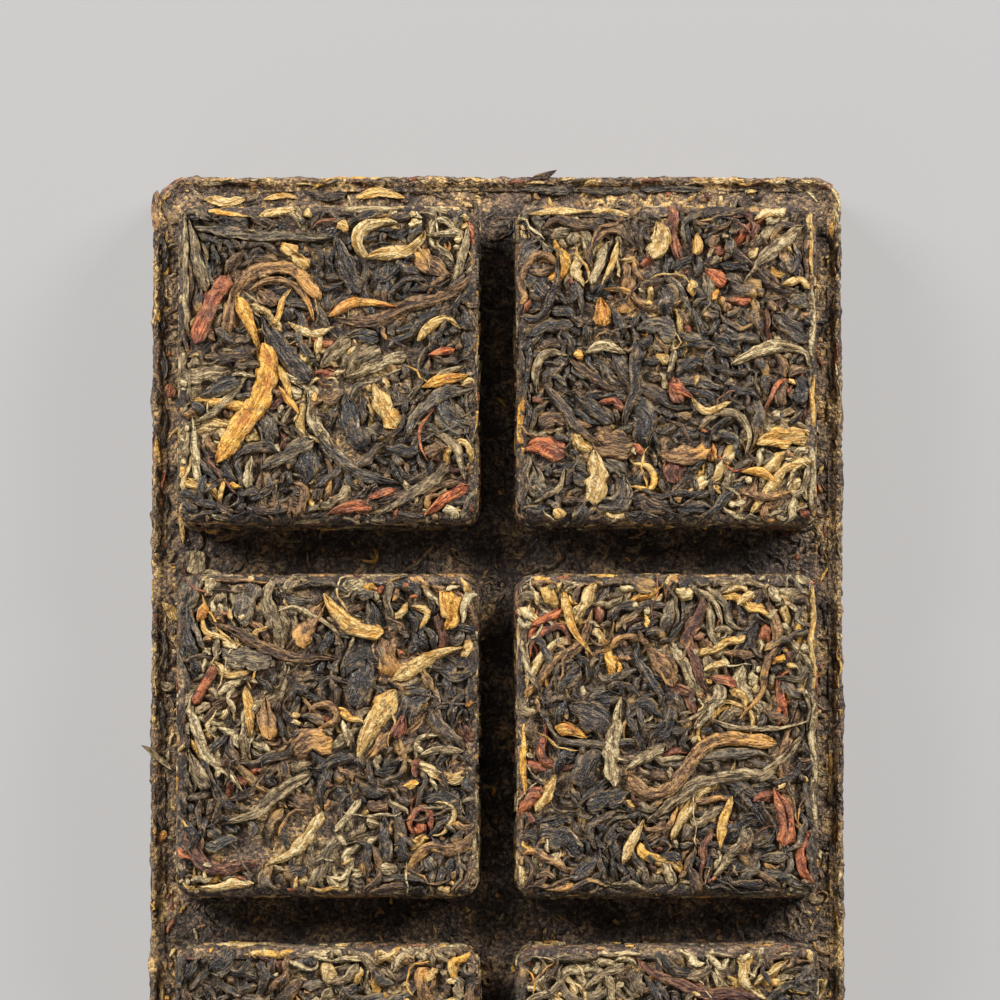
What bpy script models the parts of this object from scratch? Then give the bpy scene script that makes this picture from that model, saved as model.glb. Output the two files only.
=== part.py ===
"""A black tea brick: twisted black tea leaves pressed in a steel mould into one bar.

The bar is a slab with eight raised pieces on it, two across and four along, parted by
grooves at which it snaps. It is all one compressed mass, so it is one solid. The leaves
that show are fused on at their true size, flush with the plane that the mould pressed.

Metres, +Z up, the brick lying on its flat back. X runs across it, Y along it, and the
origin is the middle of its back.
"""

import math
import random

import bmesh
import bpy
from mathutils import Vector, noise

MM = 0.001

# --- Driving dimensions -----------------------------------------------------------------
COLUMNS, ROWS = 2, 4
PIECE_WIDTH = 24.0 * MM  # of a raised piece's pressed face, across the brick
PIECE_LENGTH = 25.6 * MM  # the same, along the brick
GROOVE_BETWEEN_COLUMNS = 3.2 * MM
GROOVE_BETWEEN_ROWS = 4.1 * MM
LEDGE_AT_SIDES = 2.4 * MM  # from a pressed face out to the brick's side
LEDGE_AT_ENDS = 2.95 * MM
SLAB_THICKNESS = 7.0 * MM
PIECE_HEIGHT = 6.0 * MM  # above the slab, so also the grooves' depth
WALL_DRAFT = math.radians(4.0)  # lets the mould's plate lift out of the grooves
FACE_EDGE_RADIUS = 1.0 * MM
FACE_CORNER_RADIUS = 1.4 * MM
FACE_CELLS = 7  # across and along one face's grid
BRICK_CORNER_RADIUS = 2.2 * MM
BACK_EDGE_RADIUS = 0.5 * MM
LIP_WIDTH = 0.8 * MM  # the burr that the mould's plate leaves round the ledge
LIP_HEIGHT = 0.6 * MM
CHIP_REACH = 1.7 * MM  # a crumb is missing from the lip at the -X, +Y corner
CHIP_DEPTH = 0.5 * MM

# --- Leaves -----------------------------------------------------------------------------
SEED = 7
PRESSED_LEAF_THICKNESS = 1.3 * MM
LEAF_LENGTHS = (6.0 * MM, 13.0 * MM)
LEAF_WIDTHS = (1.5 * MM, 2.7 * MM)
LEAVES_PER_FACE = 15
LEAVES_PER_LONG_SIDE = 9
LEAVES_PER_END = 4
LEAF_SINKS = 0.22 * MM  # how far below the pressed plane the deepest leaf's back lies
FACE_RELIEF = (0.35 * MM, 0.95 * MM)  # the packed crumb lies this far under the plane
WALL_RELIEF = 0.16 * MM
RELIEF_SCALE = 2.6 * MM
MOULD_CLEARANCE = 0.02 * MM  # leaves stay this far inside the mould's own planes

# --- Worked out from them ---------------------------------------------------------------
WIDTH = COLUMNS * PIECE_WIDTH + (COLUMNS - 1) * GROOVE_BETWEEN_COLUMNS + 2 * LEDGE_AT_SIDES
LENGTH = ROWS * PIECE_LENGTH + (ROWS - 1) * GROOVE_BETWEEN_ROWS + 2 * LEDGE_AT_ENDS
HEIGHT = SLAB_THICKNESS + PIECE_HEIGHT

# Leaves that stand out on the first four pieces: the piece, then points in millimetres
# from the middle of its face, then width in millimetres.
NOTED_LEAVES = (
    # column, row, points, width
    (0, 0, ((-6.7, 5.6), (-4.9, 1.4), (-4.8, -2.6), (-9.2, -8.0)), 2.2),  # long gold bud
    (0, 0, ((-7.3, 1.6), (-6.2, 7.0), (-1.2, 8.0), (1.2, 3.4)), 1.9),  # hooped stem
    (0, 0, ((-9.6, 2.6), (-7.9, 6.4), (-6.4, 9.2)), 1.9),  # red stem
    (0, 0, ((-9.8, 10.6), (-3.6, 10.2), (1.6, 9.4)), 1.7),
    (0, 0, ((1.9, 3.2), (6.0, 4.0), (10.3, 6.8), (11.0, 9.0)), 1.8),
    (0, 0, ((-4.6, 3.0), (-2.0, 0.0), (0.6, -2.6)), 2.3),
    (0, 0, ((2.6, 10.4), (5.2, 8.6), (8.6, 10.2)), 1.5),
    (0, 0, ((1.8, -8.4), (6.0, -10.0), (10.4, -7.4)), 2.0),
    (1, 0, ((-10.4, 0.6), (-9.4, 3.2), (-6.6, 1.2), (-4.0, -3.2)), 1.8),
    (1, 0, ((4.6, 2.2), (8.0, 3.4), (10.6, 2.2)), 1.8),  # light hooked leaf
    (1, 0, ((-11.0, -6.6), (-9.2, -6.0), (-7.2, -7.4)), 2.6),  # red stem end
    (1, 0, ((-5.2, -7.0), (-5.0, -9.4), (-5.4, -11.4)), 2.4),  # gold flake
    (1, 0, ((6.6, -6.4), (9.0, -5.4), (11.0, -5.4)), 1.9),
    (0, 1, ((1.2, 2.0), (4.6, 5.2), (10.0, 7.0)), 2.4),  # twisted gold bud, upper half
    (0, 1, ((-0.4, -1.2), (0.6, 0.6), (2.4, 3.2)), 3.0),  # and its lower half
    (0, 1, ((-9.0, 8.6), (-4.4, 6.4), (0.8, 5.4)), 1.8),
    (0, 1, ((-8.0, -6.4), (-4.6, -4.8), (-1.8, -2.6)), 2.0),
    (0, 1, ((-4.0, -10.4), (-0.4, -7.6), (1.8, -4.6)), 1.8),
    (1, 1, ((-3.6, -3.4), (-0.6, -5.2), (3.0, -2.6), (7.2, -1.0)), 2.0),  # long brown leaf
    (1, 1, ((-2.2, -8.8), (2.6, -4.8), (7.6, -4.8), (11.0, -0.8)), 2.0),
    (1, 1, ((-6.2, 8.4), (-7.4, 5.8), (-5.2, 2.8)), 1.5),  # gold bud
    (1, 1, ((-8.6, 0.0), (-6.4, -0.9)), 2.0),  # round orange stem end
    (1, 1, ((-4.4, -3.0), (-4.4, 0.6), (-3.6, 3.0)), 1.8),
)

# --- Materials --------------------------------------------------------------------------
TEA_COLOUR = (0.045, 0.032, 0.022, 1.0)
TEA_ROUGHNESS = 0.62


def clear_scene():
    for obj in list(bpy.data.objects):
        bpy.data.objects.remove(obj)


def tea_material():
    material = bpy.data.materials.new("black tea")
    material.use_nodes = True
    shader = material.node_tree.nodes["Principled BSDF"]
    shader.inputs["Base Color"].default_value = TEA_COLOUR
    shader.inputs["Roughness"].default_value = TEA_ROUGHNESS
    shader.inputs["Metallic"].default_value = 0.0
    return material


def object_from(name, mesh_data, collection=None):
    """Turns a bmesh into an object with its faces pointing out."""
    bmesh.ops.recalc_face_normals(mesh_data, faces=mesh_data.faces)
    mesh = bpy.data.meshes.new(name)
    mesh_data.to_mesh(mesh)
    mesh_data.free()
    obj = bpy.data.objects.new(name, mesh)
    (collection or bpy.context.scene.collection).objects.link(obj)
    return obj


def piece_centre(column, row):
    """The middle of a raised piece in X and Y. Row 0 is at the brick's +Y end."""
    x = (column - (COLUMNS - 1) / 2) * (PIECE_WIDTH + GROOVE_BETWEEN_COLUMNS)
    y = ((ROWS - 1) / 2 - row) * (PIECE_LENGTH + GROOVE_BETWEEN_ROWS)
    return Vector((x, y, 0.0))


def rounded_rectangle(half_x, half_y, radius, sides, arc_steps):
    """Points round a rectangle with arcs for corners, anticlockwise from its +X side.

    sides is how many equal steps each straight run along X and along Y is cut into."""
    radius = min(radius, half_x, half_y)
    along_x, along_y = sides
    points = []
    for quarter, steps in enumerate((along_y, along_x, along_y, along_x)):
        turn = quarter * math.pi / 2
        corner = (half_x - radius, half_y - radius)
        centre = Vector(
            (
                corner[0] if quarter in (0, 3) else -corner[0],
                corner[1] if quarter in (0, 1) else -corner[1],
            )
        )
        for i in range(arc_steps + 1):
            angle = turn + i / arc_steps * math.pi / 2
            points.append(centre + radius * Vector((math.cos(angle), math.sin(angle))))
        start = points[-1]
        end_centre = Vector((-centre.x, centre.y) if quarter % 2 == 0 else (centre.x, -centre.y))
        end_angle = turn + math.pi / 2
        end = end_centre + radius * Vector((math.cos(end_angle), math.sin(end_angle)))
        run = along_x if quarter % 2 == 0 else along_y
        points += [start.lerp(end, i / run) for i in range(1, run)]
    return points


def relief(point, low, high):
    """A depth between low and high that varies smoothly over the surface."""
    wave = noise.noise(point / RELIEF_SCALE) + 0.5 * noise.noise(point / (0.45 * RELIEF_SCALE))
    share = min(1.0, max(0.0, 0.5 + 0.6 * wave))
    return low + (high - low) * share


def stack_rings(bm, rings):
    """Skins closed rings of equal length one above the other and caps both ends."""
    made = [[bm.verts.new(point) for point in ring] for ring in rings]
    for lower, upper in zip(made, made[1:]):
        for i in range(len(lower)):
            j = (i + 1) % len(lower)
            bm.faces.new((lower[i], lower[j], upper[j], upper[i]))
    bm.faces.new(list(reversed(made[0])))
    bm.faces.new(made[-1])


def chipped(point):
    """How much of the lip is missing at a point: all of it at the chipped corner."""
    inset = 0.3 * BRICK_CORNER_RADIUS
    corner = Vector((inset - WIDTH / 2, LENGTH / 2 - inset))
    return max(0.0, 1 - (Vector((point.x, point.y)) - corner).length / CHIP_REACH)


def slab(collection):
    """The slab: flat back, rough pressed sides, and a burr round the ledge."""
    steps = (10, 20)

    def ring(inset, z, roughness):
        outline = rounded_rectangle(
            WIDTH / 2 - inset,
            LENGTH / 2 - inset,
            BRICK_CORNER_RADIUS - inset,
            steps,
            arc_steps=3,
        )
        points = []
        for flat in outline:
            where = Vector((flat.x, flat.y, z))
            cut = relief(where + Vector((0, 0, 5 * RELIEF_SCALE)), 0.0, roughness)
            if z > 0.5 * SLAB_THICKNESS:
                cut += CHIP_DEPTH * chipped(flat)
            points.append(where - cut * Vector((flat.x, flat.y, 0.0)).normalized())
        return points

    lip_top = [
        point + Vector((0, 0, relief(point, -0.35 * LIP_HEIGHT, 0.0) - LIP_HEIGHT * chipped(point)))
        for point in ring(0.3 * LIP_WIDTH, SLAB_THICKNESS + LIP_HEIGHT, WALL_RELIEF)
    ]
    bm = bmesh.new()
    stack_rings(
        bm,
        [
            ring(BACK_EDGE_RADIUS, 0.0, 0.0),
            ring(0.3 * BACK_EDGE_RADIUS, 0.3 * BACK_EDGE_RADIUS, 0.0),
            ring(0.0, BACK_EDGE_RADIUS, 0.0),
            ring(0.0, 0.55 * SLAB_THICKNESS, 2 * WALL_RELIEF),
            ring(0.0, SLAB_THICKNESS + 0.4 * LIP_HEIGHT, WALL_RELIEF),
            lip_top,
            ring(LIP_WIDTH, SLAB_THICKNESS, WALL_RELIEF),
        ],
    )
    return object_from("tea_brick", bm, collection)


def raised_piece(column, row, collection):
    """One of the eight pieces: drafted walls, rounded edges and a face of packed crumb."""
    centre = piece_centre(column, row)
    bm = bmesh.new()
    rings = []
    for depth, spread, rough in wall_profile():
        grid = outline_grid(spread)
        ring = []
        for i, j in around(FACE_CELLS):
            flat = grid[i][j]
            where = centre + Vector((flat.x, flat.y, HEIGHT - depth))
            cut = relief(where, 0.0, rough * WALL_RELIEF)
            outward = Vector((flat.x, flat.y, 0.0)).normalized()
            ring.append(bm.verts.new(where - cut * outward))
        rings.append(ring)
    for lower, upper in zip(rings, rings[1:]):
        for i in range(len(lower)):
            j = (i + 1) % len(lower)
            bm.faces.new((lower[i], lower[j], upper[j], upper[i]))
    bm.faces.new(list(reversed(rings[0])))
    fill_face(bm, rings[-1], grid, centre)
    return object_from(f"piece_{column}_{row}", bm, collection)


def wall_profile():
    """(depth under the face plane, spread outside the face, roughness) from foot to face.

    The foot is sunk into the slab, so that the two fuse."""
    foot = PIECE_HEIGHT + 1.0 * MM
    low = FACE_EDGE_RADIUS
    return (
        (foot, (foot - low) * math.tan(WALL_DRAFT), 0.0),
        (0.55 * PIECE_HEIGHT, (0.55 * PIECE_HEIGHT - low) * math.tan(WALL_DRAFT), 2.0),
        (low, 0.0, 1.0),
        (FACE_RELIEF[0] + 0.10 * MM, -0.55 * FACE_EDGE_RADIUS, 1.0),
    )


def around(cells):
    """The grid places round the edge of a square of cells, anticlockwise."""
    last = cells
    return (
        [(i, 0) for i in range(last)]
        + [(last, j) for j in range(last)]
        + [(i, last) for i in range(last, 0, -1)]
        + [(0, j) for j in range(last, 0, -1)]
    )


def outline_grid(spread):
    """A grid of points over a rounded rectangle that stands spread outside the face."""
    half = (PIECE_WIDTH / 2 + spread, PIECE_LENGTH / 2 + spread)
    radius = max(0.2 * MM, FACE_CORNER_RADIUS + spread)
    runs = []
    for size in half:
        straight = size - radius
        steps = FACE_CELLS - 2
        middle = [straight * (2 * i / steps - 1) for i in range(steps + 1)]
        runs.append([-size, *middle, size])
    corner_cut = radius * (1 - math.cos(math.pi / 4))
    grid = [[Vector((x, y)) for y in runs[1]] for x in runs[0]]
    for i in (0, FACE_CELLS):
        for j in (0, FACE_CELLS):
            point = grid[i][j]
            point.x -= math.copysign(corner_cut, point.x)
            point.y -= math.copysign(corner_cut, point.y)
    return grid


def fill_face(bm, ring, grid, centre):
    """Closes a face's ring with a grid whose heights are the packed crumb's relief."""
    vertices = dict(zip(around(FACE_CELLS), ring))
    for i in range(1, FACE_CELLS):
        for j in range(1, FACE_CELLS):
            flat = centre + Vector((grid[i][j].x, grid[i][j].y, 0.0))
            height = HEIGHT - relief(flat, *FACE_RELIEF)
            vertices[i, j] = bm.verts.new((flat.x, flat.y, height))
    for i in range(FACE_CELLS):
        for j in range(FACE_CELLS):
            corners = ((i, j), (i + 1, j), (i + 1, j + 1), (i, j + 1))
            bm.faces.new([vertices[corner] for corner in corners])


# --- Leaves -----------------------------------------------------------------------------


def curve_through(points, steps):
    """Points along a Catmull-Rom curve through a few given ones."""
    ends = [2 * points[0] - points[1], *points, 2 * points[-1] - points[-2]]
    spans = len(points) - 1
    made = []
    for i in range(steps + 1):
        at = min(spans - 1e-6, i / steps * spans)
        k = int(at)
        t = at - k
        a, b, c, d = ends[k : k + 4]
        made.append(
            0.5
            * (
                2 * b
                + (c - a) * t
                + (2 * a - 5 * b + 4 * c - d) * t * t
                + (3 * b - a - 3 * c + d) * t * t * t
            )
        )
    return made


def leaf(name, path, out, width, collection, thickness=PRESSED_LEAF_THICKNESS):
    """A pressed leaf: a flattened five-sided strand along path, pointed at both ends.

    out is the direction that the mould pressed against; path is the strand's outer line,
    and the strand lies under it."""
    count = len(path)
    section = ((1.0, -0.5), (0.6, 0.0), (-0.6, 0.0), (-1.0, -0.5), (0.0, -1.0))
    rings = []
    for i, point in enumerate(path):
        ahead = (path[min(count - 1, i + 1)] - path[max(0, i - 1)]).normalized()
        across = out.cross(ahead).normalized()
        along = i / (count - 1)
        swell = 0.3 + 0.7 * math.sin(math.pi * along) ** 0.6
        dip = 0.25 * thickness * (1 - math.sin(math.pi * along))
        rings.append(
            [
                point
                + across * (side * swell * width / 2)
                + out * (drop * thickness * (0.5 + 0.5 * swell) - dip)
                for side, drop in section
            ]
        )
    bm = bmesh.new()
    stack_rings(bm, rings)
    return object_from(name, bm, collection)


def inside_face(flat, centre, margin):
    """Pushes a point in as far as the mould's wall would, so a leaf bends along it."""
    half_x = PIECE_WIDTH / 2 - margin
    half_y = PIECE_LENGTH / 2 - margin
    x = min(half_x, max(-half_x, flat.x - centre.x))
    y = min(half_y, max(-half_y, flat.y - centre.y))
    return Vector((centre.x + x, centre.y + y, flat.z))


def wandering(start, heading, length, bend, steps):
    """A line in the XY plane that turns steadily by bend over its length."""
    points = [start]
    for i in range(steps):
        turn = heading + bend * (i + 0.5) / steps
        step = length / steps
        points.append(points[-1] + step * Vector((math.cos(turn), math.sin(turn), 0.0)))
    middle = sum(points, Vector()) / len(points)
    return [point + start - middle for point in points]


def face_leaves(collection, draw):
    """The leaves on the pressed faces: the noted ones, then others where there is room."""
    up = Vector((0, 0, 1))
    taken = []
    for number, (column, row, points, width) in enumerate(NOTED_LEAVES):
        centre = piece_centre(column, row)
        height = HEIGHT - MOULD_CLEARANCE - draw.random() * 0.3 * LEAF_SINKS
        flat = [centre + Vector((x * MM, y * MM, height)) for x, y in points]
        path = [
            inside_face(p, centre, 0.5 * width * MM + 0.25 * MM)
            for p in curve_through(flat, 2 * len(points) - 2)
        ]
        taken += [(p, width * MM) for p in path]
        leaf(f"noted_{number}", path, up, width * MM, collection)
    for column in range(COLUMNS):
        for row in range(ROWS):
            centre = piece_centre(column, row)
            noted = sum(1 for entry in NOTED_LEAVES if entry[:2] == (column, row))
            strew_face(centre, LEAVES_PER_FACE - noted, taken, collection, draw)


def strew_face(centre, count, taken, collection, draw):
    """Lays count leaves on one face, each at the freest of a few random places."""
    up = Vector((0, 0, 1))
    for number in range(count):
        best, best_room = None, -5 * MM
        for _ in range(60):
            width = draw.uniform(*LEAF_WIDTHS)
            length = draw.uniform(*LEAF_LENGTHS)
            height = HEIGHT - MOULD_CLEARANCE - draw.random() * LEAF_SINKS
            start = centre + Vector(
                (
                    draw.uniform(-0.5, 0.5) * (PIECE_WIDTH - 3 * MM),
                    draw.uniform(-0.5, 0.5) * (PIECE_LENGTH - 3 * MM),
                    height,
                )
            )
            path = wandering(start, draw.uniform(0, math.tau), length, draw.gauss(0, 0.8), 3)
            path = [inside_face(p, centre, 0.5 * width + 0.25 * MM) for p in path]
            room = min(
                [
                    (p - q).length - 0.5 * (width + other)
                    for p in path
                    for q, other in taken
                    if abs(p.x - q.x) < 5 * MM and abs(p.y - q.y) < 5 * MM
                ]
                or [5 * MM]
            )
            short = min((a - b).length for a, b in zip(path, path[1:]))
            if short > 0.9 * MM and room > best_room:
                best, best_room = (path, width), room
        if best is None:
            continue
        path, width = best
        taken += [(p, width) for p in path]
        leaf(f"leaf_{centre.x:.3f}_{centre.y:.3f}_{number}", path, up, width, collection)


def side_leaves(collection, draw):
    """Leaves pressed flat against the mould's upright walls."""
    for sign in (-1, 1):
        for index in range(LEAVES_PER_LONG_SIDE):
            middle = (index + 0.5) / LEAVES_PER_LONG_SIDE - 0.5
            place = Vector((sign * WIDTH / 2, middle * (LENGTH - 4 * BRICK_CORNER_RADIUS), 0))
            side_leaf(f"side_{sign}_{index}", place, Vector((sign, 0, 0)), collection, draw)
        for index in range(LEAVES_PER_END):
            middle = (index + 0.5) / LEAVES_PER_END - 0.5
            place = Vector((middle * (WIDTH - 4 * BRICK_CORNER_RADIUS), sign * LENGTH / 2, 0))
            side_leaf(f"end_{sign}_{index}", place, Vector((0, sign, 0)), collection, draw)


def side_leaf(name, place, out, collection, draw):
    along = Vector((0, 0, 1)).cross(out)
    width = draw.uniform(*LEAF_WIDTHS)
    slope = draw.uniform(-0.5, 0.5)
    height = draw.uniform(0.32, 0.72) * SLAB_THICKNESS
    length = draw.uniform(4.5 * MM, 8.0 * MM)
    path = []
    for i in range(5):
        across = (i / 4 - 0.5) * length
        bow = 0.8 * MM * math.cos(math.pi * (i / 4 - 0.5)) * (1 if slope > 0 else -1)
        z = height + slope * across + bow
        z = min(SLAB_THICKNESS - 0.6 * width, max(BACK_EDGE_RADIUS + 0.6 * width, z))
        sunk = MOULD_CLEARANCE + 0.1 * LEAF_SINKS
        path.append(place + along * across + Vector((0, 0, z)) - out * sunk)
    leaf(name, path, out, width, collection, 0.8 * PRESSED_LEAF_THICKNESS)


# --- Fusing -----------------------------------------------------------------------------


def keep_largest_shell(obj):
    """Drops loose scraps, and the inner shells of hollows that fusing sealed."""
    bm = bmesh.new()
    bm.from_mesh(obj.data)
    bmesh.ops.triangulate(bm, faces=bm.faces)
    left = set(bm.faces)
    shells = []
    while left:
        seed = left.pop()
        shell, border = {seed}, [seed]
        while border:
            for edge in border.pop().edges:
                if len(edge.link_faces) > 2:
                    continue
                for face in edge.link_faces:
                    if face in left:
                        left.remove(face)
                        shell.add(face)
                        border.append(face)
        shells.append(shell)
    largest = max(shells, key=len)
    spare = [face for shell in shells if shell is not largest for face in shell]
    bmesh.ops.delete(bm, geom=spare, context="FACES")
    bm.to_mesh(obj.data)
    bm.free()


def fuse(core, collection):
    """Joins everything in the collection to core with one Boolean union."""
    union = core.modifiers.new("Fuse", "BOOLEAN")
    union.operation = "UNION"
    union.operand_type = "COLLECTION"
    union.collection = collection
    union.solver = "MANIFOLD"
    bpy.context.view_layer.update()
    graph = bpy.context.evaluated_depsgraph_get()
    joined = bpy.data.meshes.new_from_object(core.evaluated_get(graph))
    core.modifiers.remove(union)
    core.data = joined
    for obj in list(collection.objects):
        bpy.data.objects.remove(obj)
    bpy.data.collections.remove(collection)
    keep_largest_shell(core)


def main():
    clear_scene()
    draw = random.Random(SEED)
    to_fuse = bpy.data.collections.new("to fuse")
    bpy.context.scene.collection.children.link(to_fuse)
    core = slab(None)
    for column in range(COLUMNS):
        for row in range(ROWS):
            raised_piece(column, row, to_fuse)
    face_leaves(to_fuse, draw)
    side_leaves(to_fuse, draw)
    fuse(core, to_fuse)
    core.data.materials.clear()
    core.data.materials.append(tea_material())


main()
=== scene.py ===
"""The looks of a black tea brick: thousands of pressed leaves over a core of dark crumb.

Lengths are in millimetres until a mesh is made. Every part of the brick's skin is an
unrolled surface with flat coordinates u and v, and h is the height above the plane that
the mould pressed. Leaves are laid on it from the outermost inwards: each one bends down
under those laid before it, so that what shows is packed like the real thing.
"""

import math

import bpy
import numpy as np
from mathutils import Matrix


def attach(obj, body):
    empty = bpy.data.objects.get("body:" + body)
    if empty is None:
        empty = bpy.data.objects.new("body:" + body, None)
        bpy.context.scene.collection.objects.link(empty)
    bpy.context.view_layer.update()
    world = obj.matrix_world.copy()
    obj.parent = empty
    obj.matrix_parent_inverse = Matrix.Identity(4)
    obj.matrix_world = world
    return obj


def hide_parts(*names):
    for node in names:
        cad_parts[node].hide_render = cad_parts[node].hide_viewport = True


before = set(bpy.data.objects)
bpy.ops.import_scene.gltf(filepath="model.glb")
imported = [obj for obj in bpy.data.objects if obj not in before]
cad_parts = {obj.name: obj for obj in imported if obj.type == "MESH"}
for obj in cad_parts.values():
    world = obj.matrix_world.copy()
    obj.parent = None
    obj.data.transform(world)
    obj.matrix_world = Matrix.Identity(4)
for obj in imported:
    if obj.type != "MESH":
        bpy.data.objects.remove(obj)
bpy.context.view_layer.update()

MM = 0.001
SEED = 20

# --- The brick --------------------------------------------------------------------------
COLUMNS, ROWS = 2, 4
PIECE_HALF = np.array((12.0, 12.8))  # half a raised piece's pressed face
GROOVE_WIDTH = np.array((3.2, 4.1))
PITCH = 2 * PIECE_HALF + GROOVE_WIDTH
BRICK_HALF = np.array((28.0, 60.3))
FACE_HEIGHT = 13.0
SLAB_HEIGHT = 7.0
DRAFT = math.radians(4.0)
EDGE_RADIUS = 1.0
CORNER_RADIUS = 1.4
BRICK_CORNER_RADIUS = 2.2
FOOT = 0.3  # how far a raised piece's side runs down into the slab
LIP_WIDTH, LIP_HEIGHT, LIP_RADIUS = 0.8, 0.55, 0.25
CREST = 0.9  # how far along the rim's profile the top of the lip is
BACK_EDGE_RADIUS = 0.5
CHIP_PLACE = np.array((-27.34, 59.64))  # a crumb is missing from the lip at this corner
CHIP_REACH, CHIP_DEPTH = 1.7, 0.5
BACK_HEIGHT = 0.15  # the back's leaves hang down to the floor from here
GROOVES_INSIDE = 2.6  # slab further in than this from the brick's sides counts as groove

# --- The view ---------------------------------------------------------------------------
PICTURE_SIZE = 1000  # the picture's side, in pixels
AIM = np.array((0.23, 33.6, FACE_HEIGHT))  # the point in the middle of the picture
DISTANCE = 400.0
TILT = math.radians(3.5)
SPAN = 79.96  # what the picture's side spans at the aimed point
PIXEL = SPAN / PICTURE_SIZE
SENSOR = 36.0

# --- Kinds of leaf ----------------------------------------------------------------------
# share of leaves, the range of tint that the kind's material mixes its colours by, and how
# much it keeps to the brick's paler patches
KINDS = {
    "black": (0.32, (0.0, 1.0), -1.0),
    "slate": (0.14, (0.0, 1.0), -0.6),
    "brown": (0.20, (0.0, 1.0), 0.1),
    "tan": (0.18, (0.0, 1.0), 1.0),
    "gold": (0.10, (0.3, 1.0), 1.0),
    "red": (0.06, (0.0, 0.8), 0.2),
}
LEAF_KINDS = {kind: share for kind, (share, _, _) in KINDS.items()}
PATCH = 5.0  # how far apart pale and dark patches are
PATCHINESS, TINT_PATCHINESS = 1.7, 0.16  # how strongly a patch leans the kind and the tint
GROOVE_SHADE_LEAN = -0.9  # the grooves' leaves lean to dark kinds, painted shade
# shares of the kinds among broad leaves, leaves along an edge, crumbs, and bits on the lip
BROAD_KINDS = {"black": 0.42, "slate": 0.2, "brown": 0.2, "tan": 0.12, "gold": 0.02, "red": 0.04}
EDGE_KINDS = {"black": 0.2, "slate": 0.12, "brown": 0.26, "tan": 0.25, "gold": 0.13, "red": 0.04}
CRUMB_KINDS = {"black": 0.15, "brown": 0.25, "tan": 0.32, "gold": 0.2, "red": 0.08}
RIM_KINDS = {"black": 0.1, "brown": 0.3, "tan": 0.25, "gold": 0.25, "red": 0.1}

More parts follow.
